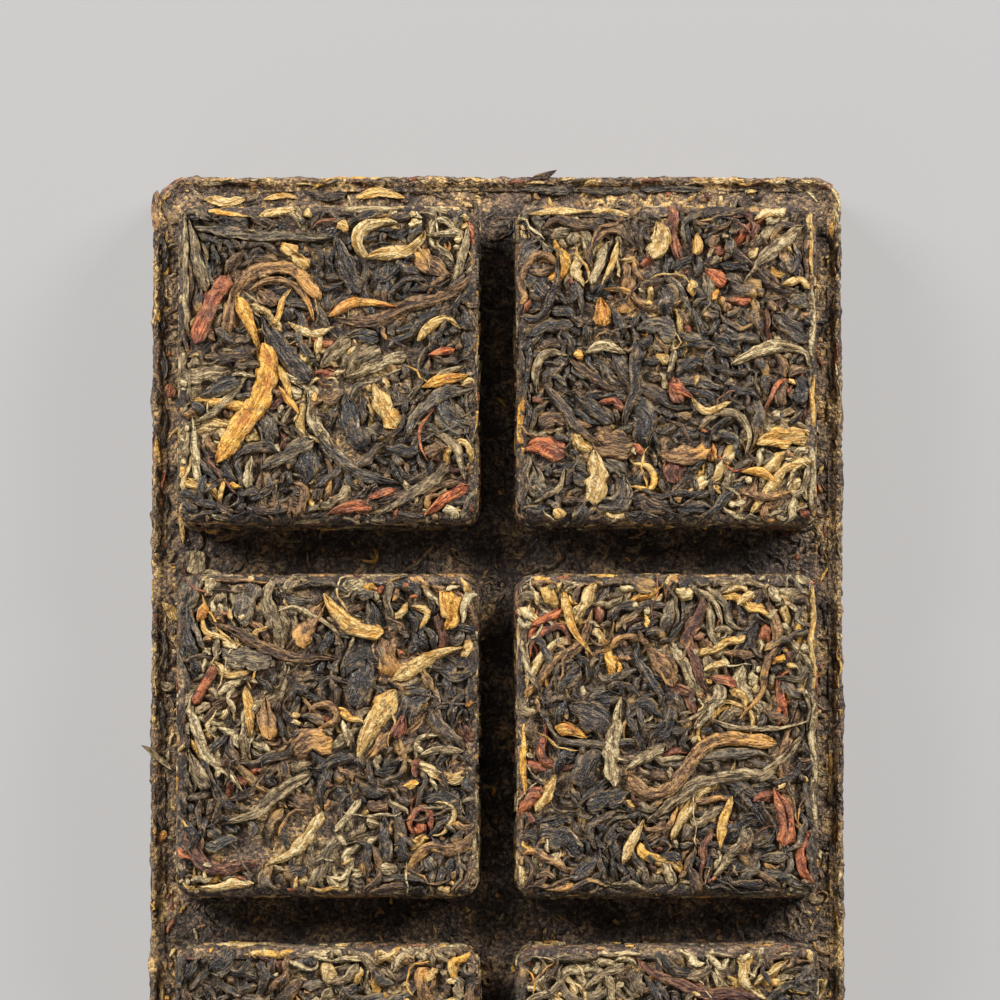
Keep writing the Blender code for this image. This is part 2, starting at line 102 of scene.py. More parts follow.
# Leaves that stand out. Each has its kind, its tint, its greatest width in pixels, its form,
# and the trail of its middle line through the picture: x and y in pixels, point after point.
NOTED = {
    "long gold bud": (
        "gold", 0.36, 23, "ribbon",
        (262, 343, 267, 362, 262, 390, 252, 410, 232, 436, 216, 462),
    ),
    "top of the gold bud": ("gold", 0.35, 16, "bud", (237, 294, 248, 318, 259, 348)),
    "red stem": ("red", 0.66, 18, "stem", (228, 272, 213, 298, 202, 321, 194, 343)),
    "dark end of the red stem": ("brown", 0.2, 14, "strand", (241, 252, 232, 262, 224, 280)),
    "hooped stem": (
        "brown", 0.88, 15, "stem",
        (229, 332, 232, 302, 243, 279, 264, 267, 291, 270, 312, 289, 321, 300),
    ),
    "inside the hoop": ("brown", 0.9, 9, "strand", (248, 289, 269, 279, 291, 282, 305, 295, 315, 320)),
    "left edge curl": (
        "tan", 0.5, 8, "strand",
        (181, 210, 186, 240, 184, 275, 186, 309, 188, 332, 197, 344),
    ),
    "olive grey leaf": ("tan", 0.15, 13, "leaf", (187, 216, 195, 252, 207, 291)),
    "long top strip": ("slate", 0.8, 13, "strand", (190, 225, 232, 231, 278, 236, 330, 237)),
    "ring curl": ("gold", 0.7, 13, "strand", (366, 258, 380, 254, 405, 252, 420, 240, 424, 231)),
    "ring curl top": ("gold", 0.85, 12, "strand", (366, 258, 357, 244, 362, 228, 380, 221, 397, 222)),
    "folded black leaf": ("black", 0.3, 20, "leaf", (335, 234, 347, 266, 362, 291)),
    "orange strip": ("gold", 0.2, 12, "bud", (329, 316, 351, 302, 372, 302, 397, 306)),
    "long brown strand": ("brown", 0.5, 15, "strand", (335, 318, 370, 321, 404, 307, 450, 293, 473, 276)),
    "gold fork": ("gold", 0.95, 8, "strand", (287, 321, 310, 334, 335, 328)),
    "other arm of the fork": ("gold", 0.9, 8, "strand", (321, 332, 317, 355)),
    "silver leaf": ("tan", 0.3, 15, "leaf", (321, 366, 337, 348, 351, 337)),
    "black oval": ("slate", 0.1, 15, "leaf", (344, 337, 360, 335, 378, 340)),
    "slanting black leaf": ("black", 0.5, 22, "leaf", (262, 315, 284, 352, 310, 380)),
    "tan gold leaf": ("tan", 0.7, 12, "leaf", (345, 378, 360, 373, 383, 362, 406, 356)),
    "olive gold leaf": ("gold", 0.6, 22, "leaf", (373, 383, 383, 408, 396, 428)),
    "yellow hook": ("gold", 0.6, 11, "bud", (417, 341, 432, 325, 448, 318, 460, 328)),
    "orange streak": ("gold", 0.35, 11, "strand", (423, 388, 443, 380, 470, 374)),
    "upper streak": ("tan", 0.7, 8, "strand", (434, 377, 464, 363)),
    "red hair": ("red", 0.9, 3, "strand", (434, 408, 420, 426, 420, 445, 427, 461)),
    "curved black strip": ("slate", 0.6, 14, "strand", (475, 386, 438, 396, 415, 417, 403, 444)),
    "low black strip": ("slate", 0.5, 14, "strand", (317, 436, 342, 461, 370, 477, 399, 482)),
    "dark middle": ("black", 0.3, 24, "leaf", (345, 392, 352, 420, 362, 450)),
    "red leaf": ("red", 0.62, 15, "leaf", (326, 516, 347, 507, 372, 508)),
    "orange leaf": ("red", 1.0, 14, "leaf", (423, 516, 445, 500, 470, 484)),
    "red sliver": ("red", 0.7, 8, "strand", (368, 498, 395, 487)),
    "grey tan strip": ("tan", 0.25, 13, "leaf", (374, 518, 404, 497, 427, 484, 450, 463)),
    "cream leaf": ("tan", 1.0, 8, "leaf", (193, 417, 195, 442, 197, 483)),
    "tan slant": ("tan", 0.6, 8, "strand", (197, 421, 216, 410, 240, 386)),
    "dark slant": ("slate", 0.2, 16, "leaf", (200, 396, 222, 386, 240, 380)),
    "tan right edge": ("tan", 0.6, 10, "strand", (470, 225, 462, 262, 452, 282)),
    "lower olive arc": ("tan", 0.4, 9, "strand", (432, 430, 455, 445, 466, 480)),
    "dark lower leaf": ("slate", 0.7, 16, "leaf", (262, 470, 290, 452, 312, 440)),
    "pale flake": ("gold", 0.8, 22, "leaf", (655, 221, 660, 240, 653, 259)),
    "pale gold top": ("gold", 0.9, 12, "leaf", (754, 219, 768, 210, 788, 206)),
    "tan diagonal": ("tan", 0.6, 12, "leaf", (743, 280, 761, 259, 785, 240, 804, 226)),
    "orange blob": ("gold", 0.25, 16, "leaf", (603, 297, 602, 311, 604, 326)),
    "orange stem end": ("gold", 0.3, 11, "leaf", (573, 355, 583, 355)),
    "tan loop": ("tan", 0.5, 9, "strand", (537, 392, 536, 368, 546, 353, 568, 356)),
    "dark end of the loop": ("brown", 0.4, 10, "strand", (568, 357, 591, 375, 614, 391)),
    "dark strand": ("black", 0.7, 11, "strand", (545, 384, 568, 410, 580, 429, 600, 445)),
    "olive hook": ("tan", 0.75, 12, "strand", (733, 366, 757, 351, 785, 346, 806, 351, 811, 368)),
    "gold angle": ("gold", 0.7, 8, "strand", (691, 397, 707, 412, 733, 400)),
    "red bit": ("red", 0.7, 8, "strand", (667, 383, 693, 398)),
    "curled arc": ("tan", 0.45, 8, "strand", (698, 430, 714, 415, 738, 415, 750, 433, 745, 455)),
    "gold tan leaf": ("gold", 0.55, 20, "leaf", (755, 444, 778, 436, 811, 436)),
    "red brown end": ("red", 0.75, 22, "leaf", (521, 447, 542, 445, 566, 456)),
    "pale upright": ("gold", 0.8, 21, "leaf", (594, 450, 596, 476, 593, 505)),
    "silver arc": ("tan", 0.6, 6, "strand", (565, 468, 558, 488, 533, 503)),
    "olive flat leaf": ("brown", 0.9, 18, "leaf", (660, 453, 686, 455, 709, 449)),
    "orange crumb": ("gold", 0.2, 8, "leaf", (713, 441, 713, 460)),
    "right edge gold": ("gold", 0.6, 9, "strand", (817, 205, 813, 222, 819, 241, 814, 260, 818, 277)),
    "right edge tan": ("tan", 0.85, 9, "strand", (814, 288, 819, 312, 814, 336, 818, 360)),
    "right edge low": ("gold", 0.5, 8, "strand", (819, 374, 814, 398, 819, 426)),
    "right edge end": ("tan", 0.95, 9, "strand", (815, 446, 819, 473, 814, 497, 817, 518)),
    "pale gold leaf": ("gold", 0.55, 18, "leaf", (322, 594, 337, 612, 353, 626, 385, 631)),
    "gold hook": ("gold", 0.6, 8, "strand", (411, 607, 427, 612, 421, 628)),
    "twisted bud top": ("gold", 0.65, 17, "bud", (393, 683, 415, 667, 438, 655, 463, 648)),
    "twisted bud foot": ("gold", 0.6, 25, "bud", (396, 690, 379, 715, 365, 738, 359, 757)),
    "red oval": ("red", 0.4, 14, "leaf", (405, 713, 395, 738)),
    "brown flat leaf": ("brown", 1.0, 18, "leaf", (264, 697, 266, 720, 270, 740)),
    "tan gold strand": ("gold", 0.5, 10, "strand", (246, 686, 248, 711, 250, 735)),
    "lower red stem": ("red", 0.6, 10, "stem", (217, 665, 204, 688, 194, 706)),
    "tan above the stem": ("tan", 0.6, 8, "strand", (218, 637, 216, 660)),
    "orange spindle": ("gold", 0.2, 11, "leaf", (196, 622, 208, 604)),
    "long brown leaf": ("brown", 0.4, 12, "strand", (209, 620, 236, 632, 269, 649, 301, 658, 339, 658)),
    "olive strip": ("tan", 0.4, 14, "leaf", (225, 823, 255, 812, 282, 791, 312, 773)),
    "pale gold strip": ("gold", 0.9, 12, "leaf", (267, 866, 296, 848, 312, 830, 322, 810)),
    "pale stick": ("tan", 0.9, 8, "stem", (335, 832, 360, 800)),
    "tan arcs": ("tan", 0.6, 9, "strand", (418, 756, 438, 750, 463, 752)),
    "olive leaf": ("tan", 0.35, 14, "leaf", (188, 750, 197, 775, 211, 786)),
    "gold strand": ("gold", 0.5, 11, "bud", (563, 588, 570, 621, 584, 643, 593, 656)),
    "red fork": ("red", 0.9, 9, "strand", (530, 626, 549, 617, 565, 606)),
    "white speck": ("tan", 1.0, 7, "leaf", (643, 612, 651, 610)),
    "upper tan arc": ("tan", 0.6, 7, "strand", (696, 590, 714, 603, 722, 623)),
    "pale chip": ("tan", 1.0, 11, "leaf", (769, 586, 779, 605)),
    "gold chip": ("gold", 0.7, 11, "leaf", (736, 604, 754, 592)),
    "pale gold chip": ("gold", 0.9, 9, "leaf", (703, 672, 716, 666, 730, 663)),
    "red chip": ("red", 0.7, 9, "leaf", (712, 677, 737, 686)),
    "pale upright strip": ("tan", 0.85, 16, "leaf", (622, 697, 615, 728, 612, 755, 614, 786)),
    "white fibre": ("tan", 1.0, 4, "strand", (602, 744, 613, 756, 630, 762)),
    "orange bud": ("gold", 0.3, 15, "bud", (552, 727, 570, 730, 587, 740)),
    "short tan piece": ("tan", 0.75, 12, "leaf", (627, 770, 646, 756, 664, 745)),
    "s-shaped stem": (
        "brown", 0.9, 15, "stem",
        (627, 775, 646, 794, 669, 789, 688, 768, 707, 746, 738, 739, 777, 743),
    ),
    "long olive strand": (
        "tan", 0.4, 15, "strand",
        (648, 822, 674, 801, 702, 784, 738, 777, 761, 775, 785, 756, 803, 735),
    ),
    "tan fan": ("tan", 0.5, 6, "strand", (707, 717, 738, 728, 773, 728, 808, 720)),
    "low red leaf": ("red", 0.62, 19, "leaf", (774, 789, 785, 815, 783, 845)),
    "low gold strip": ("gold", 0.5, 10, "strand", (732, 796, 724, 822, 720, 848)),
    "low pale gold": ("gold", 0.8, 10, "leaf", (644, 820, 632, 843, 621, 864)),
    "left edge gold": ("gold", 0.35, 8, "strand", (523, 722, 521, 756, 523, 795)),
    "upper left gold": ("tan", 0.65, 9, "strand", (517, 640, 528, 666, 541, 692)),
    "gold diagonal": ("gold", 0.6, 12, "leaf", (557, 773, 537, 812)),
    "lower right ridge": ("gold", 0.6, 9, "strand", (815, 585, 819, 612, 814, 640, 820, 668, 817, 690)),
    "end of the ridge": ("tan", 0.9, 10, "strand", (821, 712, 816, 742, 823, 772, 818, 802, 822, 828)),
    "gold cluster": ("gold", 0.55, 13, "chip", (281, 242, 297, 251)),
    "foot of the cluster": ("gold", 0.65, 13, "chip", (293, 254, 309, 265)),
    "gold bit at the top": ("gold", 0.6, 9, "chip", (339, 222, 348, 231)),
    "red bit at the edge": ("red", 0.6, 8, "leaf", (472, 219, 477, 244)),
    "brown oval": ("brown", 0.6, 15, "leaf", (256, 290, 278, 303)),
    "red gold bits": ("red", 0.9, 7, "leaf", (429, 355, 454, 348)),
    "gold wool": ("gold", 0.5, 8, "strand", (274, 360, 285, 380, 291, 400)),
    "more gold wool": ("gold", 0.3, 7, "strand", (279, 386, 290, 402, 298, 414)),
    "tan wool": ("tan", 0.8, 11, "chip", (284, 390, 302, 396)),
    "olive crumbs": ("tan", 0.7, 9, "leaf", (251, 456, 246, 487)),
    "gold upright": ("gold", 0.5, 6, "strand", (222, 478, 220, 504)),
    "gold wool edge": ("gold", 0.85, 10, "strand", (528, 214, 556, 207, 592, 207)),
    "other end of the wool": ("gold", 0.7, 9, "strand", (585, 209, 606, 208, 630, 215)),
    "olive upright": ("tan", 0.8, 11, "leaf", (608, 242, 599, 262, 591, 284)),
    "gold by the upright": ("gold", 0.6, 7, "strand", (617, 240, 612, 262, 602, 284)),
    "small gold leaf": ("gold", 0.6, 11, "leaf", (698, 232, 696, 256)),
    "pink tan leaf": ("red", 0.9, 13, "leaf", (705, 268, 726, 286)),
    "gold near the edge": ("gold", 0.6, 10, "leaf", (784, 285, 800, 280, 812, 288)),
    "olive yellow strand": ("tan", 0.7, 11, "strand", (586, 353, 606, 346, 626, 353)),
    "red brown leaf": ("red", 0.45, 17, "leaf", (672, 378, 684, 404)),
    "gold olive wool": ("gold", 0.4, 10, "strand", (740, 470, 760, 473, 777, 483)),
    "low gold wool": ("brown", 0.8, 9, "strand", (742, 492, 768, 497, 790, 492)),
    "pale bit": ("tan", 0.95, 9, "chip", (728, 504, 746, 500)),
    "gold top rim": ("gold", 0.5, 9, "strand", (208, 207, 230, 211, 250, 216)),
    "gold top rim two": ("gold", 0.7, 10, "strand", (257, 216, 275, 209, 297, 207)),
    "tan top rim": ("tan", 0.7, 9, "strand", (340, 206, 380, 205, 404, 205)),
}

# the same for what lies on the ledge and in the grooves
NOTED_LOW = {
    "strip under the corner": ("brown", 0.5, 12, "strand", (266, 515, 240, 530, 213, 542)),
    "tan block": ("tan", 0.5, 19, "stem", (196, 550, 195, 574)),
    "tan fuzz": ("tan", 0.8, 9, "strand", (202, 574, 224, 577)),
    "orange bit": ("gold", 0.4, 9, "leaf", (204, 527, 220, 530)),
    "ledge strand": ("gold", 0.6, 6, "strand", (182, 490, 181, 520, 182, 546)),
    "dangling strand": ("tan", 0.6, 5, "strand", (268, 526, 280, 540, 303, 541)),
    "ledge top gold": ("gold", 0.7, 11, "strand", (204, 199, 226, 202, 246, 199)),
    "ledge top gold two": ("gold", 0.55, 7, "strand", (262, 201, 284, 196, 296, 199)),
    "right ledge gold": ("gold", 0.5, 8, "leaf", (831, 222, 836, 240)),
    "ledge top gold three": ("gold", 0.6, 9, "strand", (356, 199, 378, 193, 404, 197)),
    "dark between the golds": ("black", 0.5, 11, "leaf", (306, 192, 326, 196, 348, 193)),
    "dark past the groove": ("slate", 0.3, 12, "leaf", (520, 190, 545, 187, 572, 190)),
    "dark to the right": ("black", 0.5, 12, "leaf", (578, 189, 604, 191, 632, 189)),
    "dark further right": ("slate", 0.2, 10, "strand", (640, 191, 668, 187, 700, 191)),
    "dark in the corner": ("black", 0.7, 15, "leaf", (160, 201, 168, 213, 178, 222)),
    "upper left dark": ("slate", 0.2, 11, "leaf", (160, 232, 163, 252, 160, 274)),
    "dark further down": ("black", 0.6, 11, "leaf", (163, 280, 159, 305, 162, 332)),
    "dark by the rust": ("slate", 0.1, 11, "leaf", (159, 342, 162, 362, 159, 382)),
    "rust bit": ("red", 0.7, 9, "chip", (168, 384, 170, 398)),
    "dark below the rust": ("black", 0.5, 11, "leaf", (160, 400, 163, 425, 159, 450)),
    "red ledge strand": ("red", 0.8, 6, "strand", (161, 505, 158, 490, 166, 472)),
    "low ledge gold": ("gold", 0.7, 9, "leaf", (163, 603, 170, 612, 176, 620)),
    "low ledge dark": ("black", 0.6, 11, "leaf", (160, 630, 163, 650, 160, 672)),
    "low ledge silver": ("tan", 0.5, 9, "leaf", (160, 681, 168, 687, 176, 690)),
    "dark above the twig": ("slate", 0.2, 11, "leaf", (162, 698, 159, 718, 162, 740)),
    "dark below the twig": ("black", 0.6, 11, "leaf", (162, 778, 159, 802, 162, 828)),
    "low ledge orange": ("gold", 0.2, 9, "chip", (153, 833, 166, 835)),
}

# the same for twigs that lie across the lip and stick out past the brick's edge
NOTED_TWIGS = {
    "left twig": ("tan", 0.8, 6, "strand", (142, 746, 150, 750, 160, 758, 172, 769)),
    "left end of the top": ("brown", 0.7, 7, "stem", (157, 191, 155, 208, 156, 230)),
    "top twig": ("brown", 0.3, 6, "strand", (533, 180, 545, 176, 556, 171)),
}
LOW_LIFT, TWIG_LIFT = 0.8, 3.2  # how much higher these lie than the rest

# Stretches of a pressed face that are paler or darker than the rest: where their middle is
# in the picture, how far they reach, in its pixels, and how pale they are.
NOTED_PATCHES = {
    "dark by the red stem": (222, 255, 28, -1.2),
    "dark by the folded leaf": (365, 270, 34, -1.5),
    "dark lower middle": (345, 440, 44, -1.3),
    "pale by the silver leaf": (340, 335, 26, 1.0),
    "pale under the ring": (442, 262, 26, 0.8),
    "dark across the right": (742, 302, 36, -1.4),
    "dark across the middle": (672, 300, 32, -1.2),
    "dark inside the loop": (605, 405, 34, -1.2),
    "pale under the flake": (660, 240, 20, 1.0),
    "pale by the angle": (700, 400, 28, 0.6),
    "pale by the gold tan leaf": (752, 468, 32, 0.3),
    "dark by the brown leaf": (312, 680, 38, -1.5),
    "dark by the twisted bud": (445, 705, 28, -1.5),
    "dark by the olive leaf": (232, 812, 32, -1.2),
    "pale by the olive strip": (300, 770, 28, 1.0),
    "dark by the tan fan": (760, 640, 30, -1.3),
    "pale by the gold chips": (712, 690, 34, 0.5),
    "dark by the gold diagonal": (582, 822, 30, -1.3),
    "dark by the low gold": (752, 812, 28, -1.3),
    "pale upper left corner": (548, 600, 24, 1.0),
}


# --- Unrolled surfaces ------------------------------------------------------------------


NO_LIMIT = 9.0  # deeper than any leaf is pressed


class Profile:
    """A line of (spread, z) points walked by length, with smooth normals."""

    def __init__(self, points):
        points = np.array(points, float)
        steps = np.hypot(*np.diff(points, axis=0).T)
        self.at = np.concatenate(([0.0], np.cumsum(steps)))
        self.length = self.at[-1]
        self.points = points
        self.deepest = np.full(len(points), NO_LIMIT)
        ahead = np.gradient(points, self.at, axis=0)
        ahead /= np.linalg.norm(ahead, axis=1)[:, None]
        self.normals = np.stack((-ahead[:, 1], ahead[:, 0]), 1)

    def read(self, v):
        beyond = v - np.clip(v, 0.0, self.length)
        spread, z = (np.interp(v, self.at, self.points[:, i]) for i in (0, 1))
        side, up = (np.interp(v, self.at, self.normals[:, i]) for i in (0, 1))
        return spread + beyond * up, z - beyond * side, side, up

    def limited(self, v, h):
        """h, but no deeper than a leaf can be pressed there."""
        return np.maximum(h, -np.interp(v, self.at, self.deepest))


def arc(centre, radius, first, last, count=8):
    """Points on an arc in the plane of (spread, z); angles from straight up, outwards."""
    angles = np.linspace(first, last, count)
    return [(centre[0] + radius * math.sin(a), centre[1] + radius * math.cos(a)) for a in angles]


def wall_profile():
    """From the flat of a raised piece's face, over its edge and down to the slab."""
    steepest = math.pi / 2 - DRAFT
    over = arc((-EDGE_RADIUS, FACE_HEIGHT - EDGE_RADIUS), EDGE_RADIUS, 0.0, steepest)
    spread, z = over[-1]
    drop = z - SLAB_HEIGHT + FOOT
    down = np.linspace(0.0, drop, 8)[1:]
    return Profile(over + [(spread + d * math.tan(DRAFT), z - d) for d in down])


def rim_profile():
    """From the ledge, over the lip and down the brick's side to its back."""
    crest = SLAB_HEIGHT + LIP_HEIGHT
    ledge = [(-LIP_WIDTH - 0.35, SLAB_HEIGHT), (-LIP_WIDTH, SLAB_HEIGHT + 0.02)]
    inner_slope = [(-0.65, crest - 0.3), (-0.5, crest - 0.05)]
    top = arc((-LIP_RADIUS, crest - LIP_RADIUS), LIP_RADIUS, -0.6, math.pi / 2, 6)
    side = [(0.0, z) for z in np.linspace(crest - 2 * LIP_RADIUS, BACK_EDGE_RADIUS, 10)]
    under = arc((-BACK_EDGE_RADIUS, BACK_EDGE_RADIUS), BACK_EDGE_RADIUS, math.pi / 2, math.pi, 6)
    back = [(-BACK_EDGE_RADIUS - 0.6, 0.0)]
    profile = Profile(ledge + inner_slope + top + side + under[1:] + back)
    in_lip = np.clip(profile.points[:, 1] - SLAB_HEIGHT + 0.4, 0.0, 1.0)
    profile.deepest = 1.0 - 0.88 * in_lip  # the lip is too thin to press leaves deep into
    return profile


class Surface:
    """What all unrolled surfaces share: rasters of how deep the next leaf has to lie, of what
    is still bare, and of what is paler than the rest."""

    cell = 0.13  # the side of a raster's cell
    inset = 0.0  # how far inside its edges leaves' middle lines stay
    wraps = False

    def make_raster(self, low, high):
        self.low = np.array(low, float)
        self.high = np.array(high, float)
        self.count = np.ceil((self.high - self.low) / self.cell).astype(int)
        self.ceiling = np.zeros(self.count)
        self.bare = np.ones(self.count, bool)
        self.pale = np.zeros(self.count)

    def cells(self, places):
        index = np.floor((places - self.low) / self.cell).astype(int)
        if self.wraps:
            index[..., 0] %= self.count[0]
        return np.clip(index, 0, self.count - 1)

    def look_up(self, raster, places):
        where = self.cells(places)
        return raster[where[..., 0], where[..., 1]]

    def is_bare(self, places):
        return self.look_up(self.bare, places)

    def centres(self):
        u, v = (self.low[i] + self.cell * (np.arange(self.count[i]) + 0.5) for i in (0, 1))
        return np.stack(np.meshgrid(u, v, indexing="ij"), -1)


def blotches(rng, shape, spacing):
    """Random heights on a grid, smooth between knots spacing samples apart."""
    rows, columns = (int(count / spacing) + 2 for count in shape)
    coarse = rng.normal(0.0, 1.0, (rows, columns))
    i, j = (np.linspace(0.0, knots - 1.001, count) for knots, count in zip((rows, columns), shape))
    row, column = i.astype(int), j.astype(int)
    down, right = (i - row)[:, None], (j - column)[None]
    top = coarse[row][:, column] * (1 - right) + coarse[row][:, column + 1] * right
    low = coarse[row + 1][:, column] * (1 - right) + coarse[row + 1][:, column + 1] * right
    return top * (1 - down) + low * down


def near_outline(places, half, radius):
    """Distance outside a rounded rectangle, and the direction straight out of it."""
    inner = np.clip(places, radius - half, half - radius)
    offset = places - inner
    far = np.linalg.norm(offset, axis=-1)
    outward = offset / np.maximum(far, 1e-9)[..., None]
    return far - radius, outward


class Face(Surface):
    """A raised piece's pressed face. Past its flat, u and v roll over the edge."""

    roll = 2.3  # how far past the flat the raster goes
    leafy, leafy_wander = 1.3, 0.35  # how far past it leaves are laid
    wear, wear_spacing = 0.15, 1.6  # how deep its edge is worn, and how far apart

    def __init__(self, centre, rng):
        self.centre = np.array(centre)
        self.profile = wall_profile()
        self.flat_half = PIECE_HALF - EDGE_RADIUS
        self.flat_radius = CORNER_RADIUS - EDGE_RADIUS
        self.make_raster(-self.flat_half - self.roll, self.flat_half + self.roll)
        self.pale = blotches(rng, self.count, PATCH / self.cell)
        worn = blotches(rng, self.count, self.wear_spacing / self.cell)
        self.worn = self.wear * np.clip(worn, 0.0, 2.0)
        out, _ = near_outline(self.centres(), self.flat_half, self.flat_radius)
        wander_out = blotches(rng, self.count, 1.0 / self.cell)
        self.bare = out < self.leafy + self.leafy_wander * wander_out

    def point(self, u, v, h):
        places = np.stack((u, v), -1)
        out, outward = near_outline(places, self.flat_half, self.flat_radius)
        past = np.maximum(out, 0.0)
        h = h - self.look_up(self.worn, places) * np.clip(0.6 + out, 0.0, 1.0)
        spread, z, side, up = self.profile.read(past)
        rolled = (spread + EDGE_RADIUS - past + side * h)[..., None] * outward
        flat = places + self.centre + np.where(out[..., None] > 0, rolled, 0.0)
        return np.concatenate((flat, (z + up * h)[..., None]), -1)


class Strip(Surface):
    """A band round a rounded rectangle: u runs round it and v down its profile. stretch
    gives leaves more room round small corners."""

    wraps = True

    def __init__(self, centre, half, radius, stretch, profile, top=0.0):
        self.centre = np.array(centre)
        self.half = half
        self.radius = radius
        self.bend = radius + stretch
        self.profile = profile
        quarter = math.pi / 2 * self.bend
        straight = [2 * (half[1] - radius), 2 * (half[0] - radius)]
        runs = [straight[0], quarter, straight[1], quarter] * 2
        self.starts = np.concatenate(([0.0], np.cumsum(runs)))
        self.make_raster((0.0, top), (self.starts[-1], profile.length))

    def round_it(self, u):
        """The place on the outline at u and the direction straight out of it."""
        u = np.mod(u, self.starts[-1])
        run = np.clip(np.searchsorted(self.starts, u, side="right") - 1, 0, 7)
        into = u - self.starts[run]
        turn = (run // 2) * math.pi / 2
        bent = run % 2 == 1
        angle = turn + np.where(bent, into / self.bend, 0.0)
        outward = np.stack((np.cos(angle), np.sin(angle)), -1)
        diagonal = turn + math.pi / 4
        corner = np.round(np.stack((np.cos(diagonal), np.sin(diagonal)), -1))
        arc_middle = corner * (self.half - self.radius)
        along = np.stack((-outward[..., 1], outward[..., 0]), -1)
        long_side = self.starts[run + 1] - self.starts[run]
        back = np.where(bent, 0.0, into - long_side)
        place = arc_middle + self.radius * outward + along * back[..., None]
        return place + self.centre, outward

    def point(self, u, v, h):
        place, outward = self.round_it(u)
        spread, z, side, up = self.profile.read(v)
        h = self.profile.limited(v, h)
        flat = place + (spread + side * h)[..., None] * outward
        return np.concatenate((flat, (z + up * h)[..., None]), -1)


class Rim(Strip):
    """The brick's lip, side and lower edge, with a crumb missing from the lip."""

    def point(self, u, v, h):
        points = super().point(u, v, h)
        flat, z = points[..., :2], points[..., 2]
        apart = np.linalg.norm(flat - CHIP_PLACE, axis=-1)
        upper = np.clip(2 * z / SLAB_HEIGHT - 1, 0.0, 1.0)  # 0 in the slab's lower half
        missing = upper * np.clip(1 - apart / CHIP_REACH, 0.0, 1.0)
        outward = flat / np.linalg.norm(flat, axis=-1)[..., None]
        points[..., 2] = z - missing * np.maximum(z - SLAB_HEIGHT, 0.0)
        points[..., :2] = flat - CHIP_DEPTH * missing[..., None] * outward
        return points


class Plane(Surface):
    """A flat stretch at height z, facing up or down."""

    inset = 1.0

    def __init__(self, z, facing):
        self.z = z
        self.facing = facing
        self.make_raster(-BRICK_HALF, BRICK_HALF)

    def point(self, u, v, h):
        return np.stack((u, v, self.z + self.facing * h), -1)


def piece_centres():
    """The raised pieces' middles, column by column, each from the +Y end."""
    return [
        np.array((column - (COLUMNS - 1) / 2, (ROWS - 1) / 2 - row)) * PITCH
        for column in range(COLUMNS)
        for row in range(ROWS)
    ]


def from_edge(places):
    """How far in from the nearest of the brick's four sides each place is."""
    return (BRICK_HALF - np.abs(places)).min(-1)


def floor_surface():
    """The slab's ledge and the grooves' floors, bare only where no piece stands."""
    floor = Plane(SLAB_HEIGHT, 1.0)
    places = floor.centres()
    out, _ = near_outline(places, BRICK_HALF, BRICK_CORNER_RADIUS)
    floor.bare = out < -LIP_WIDTH
    for centre in piece_centres():
        from_foot, _ = near_outline(places - centre, PIECE_HALF, CORNER_RADIUS)
        floor.bare &= from_foot > 0.1
    # painted shade: leaves in the grooves lean to dark kinds
    floor.pale = np.where(from_edge(places) > GROOVES_INSIDE, GROOVE_SHADE_LEAN, 0.0)
    return floor


def back_surface():
    """The brick's back, without its rounded edge."""
    back = Plane(BACK_HEIGHT, -1.0)
    out, _ = near_outline(back.centres(), BRICK_HALF, BRICK_CORNER_RADIUS)
    back.bare = out < -0.45
    return back


# --- Leaves -----------------------------------------------------------------------------

# samples across a leaf from edge to edge; the first and last fold under as a skirt
FINE = np.array((-1.0, -1.0, -0.86, -0.66, -0.42, -0.14, 0.14, 0.42, 0.66, 0.86, 1.0, 1.0))
PLAIN = np.array((-1.0, -1.0, -0.7, -0.3, 0.1, 0.5, 0.8, 1.0, 1.0))
SMALL = np.array((-1.0, -1.0, -0.6, 0.0, 0.6, 1.0, 1.0))
COARSE = np.array((-1.0, -0.75, -0.1, 0.6, 1.0))


TEXTURE_SPREAD = (57.0, 91.0)  # the stretch of texture that leaves take their own bit from
CHANCE_MIXER = 7.3  # makes a second random number from the first


class Heap:
    """The leaves of one piece of the model, gathered as arrays and made into one mesh."""

    def __init__(self):
        self.points, self.faces, self.marks = [], [], []
        self.leaf_uv, self.bake_uv, self.sizes = [], [], []
        self.total = 0

    def add(self, points, along, across, tint, chance, edge=0.0, hollow=0.0, keep=None):
        """Adds a grid of points. Its marks are the tint, how near an edge, how far along,
        and how deep in a fold. keep leaves out some of its faces."""
        rows, columns = points.shape[:2]
        index = np.arange(rows * columns).reshape(rows, columns) + self.total
        quads = np.stack((index[:-1, :-1], index[1:, :-1], index[1:, 1:], index[:-1, 1:]), -1)
        if keep is not None:
            quads = quads[keep]
        self.points.append(points.reshape(-1, 3))
        self.faces.append(quads.reshape(-1, 4))
        grid_along = np.repeat(along[:, None], columns, 1)
        texture_u = grid_along + TEXTURE_SPREAD[0] * chance
        texture_v = across + TEXTURE_SPREAD[1] * ((chance * CHANCE_MIXER) % 1)
        self.leaf_uv.append(np.stack((texture_u, texture_v), -1).reshape(-1, 2))
        girth = np.cumsum(np.linalg.norm(np.diff(points, axis=1, prepend=points[:, :1]), axis=2), 1)
        self.bake_uv.append(np.stack((grid_along - along[0], girth), -1).reshape(-1, 2))
        self.sizes.append((float(along[-1] - along[0]), float(girth.max())))
        mark = np.empty((rows, columns, 4))
        mark[..., 0] = tint
        mark[..., 1] = edge
        mark[..., 2] = ((along - along[0]) / max(along[-1] - along[0], 1e-6))[:, None]
        mark[..., 3] = hollow
        self.marks.append(mark.reshape(-1, 4))
        self.total += rows * columns


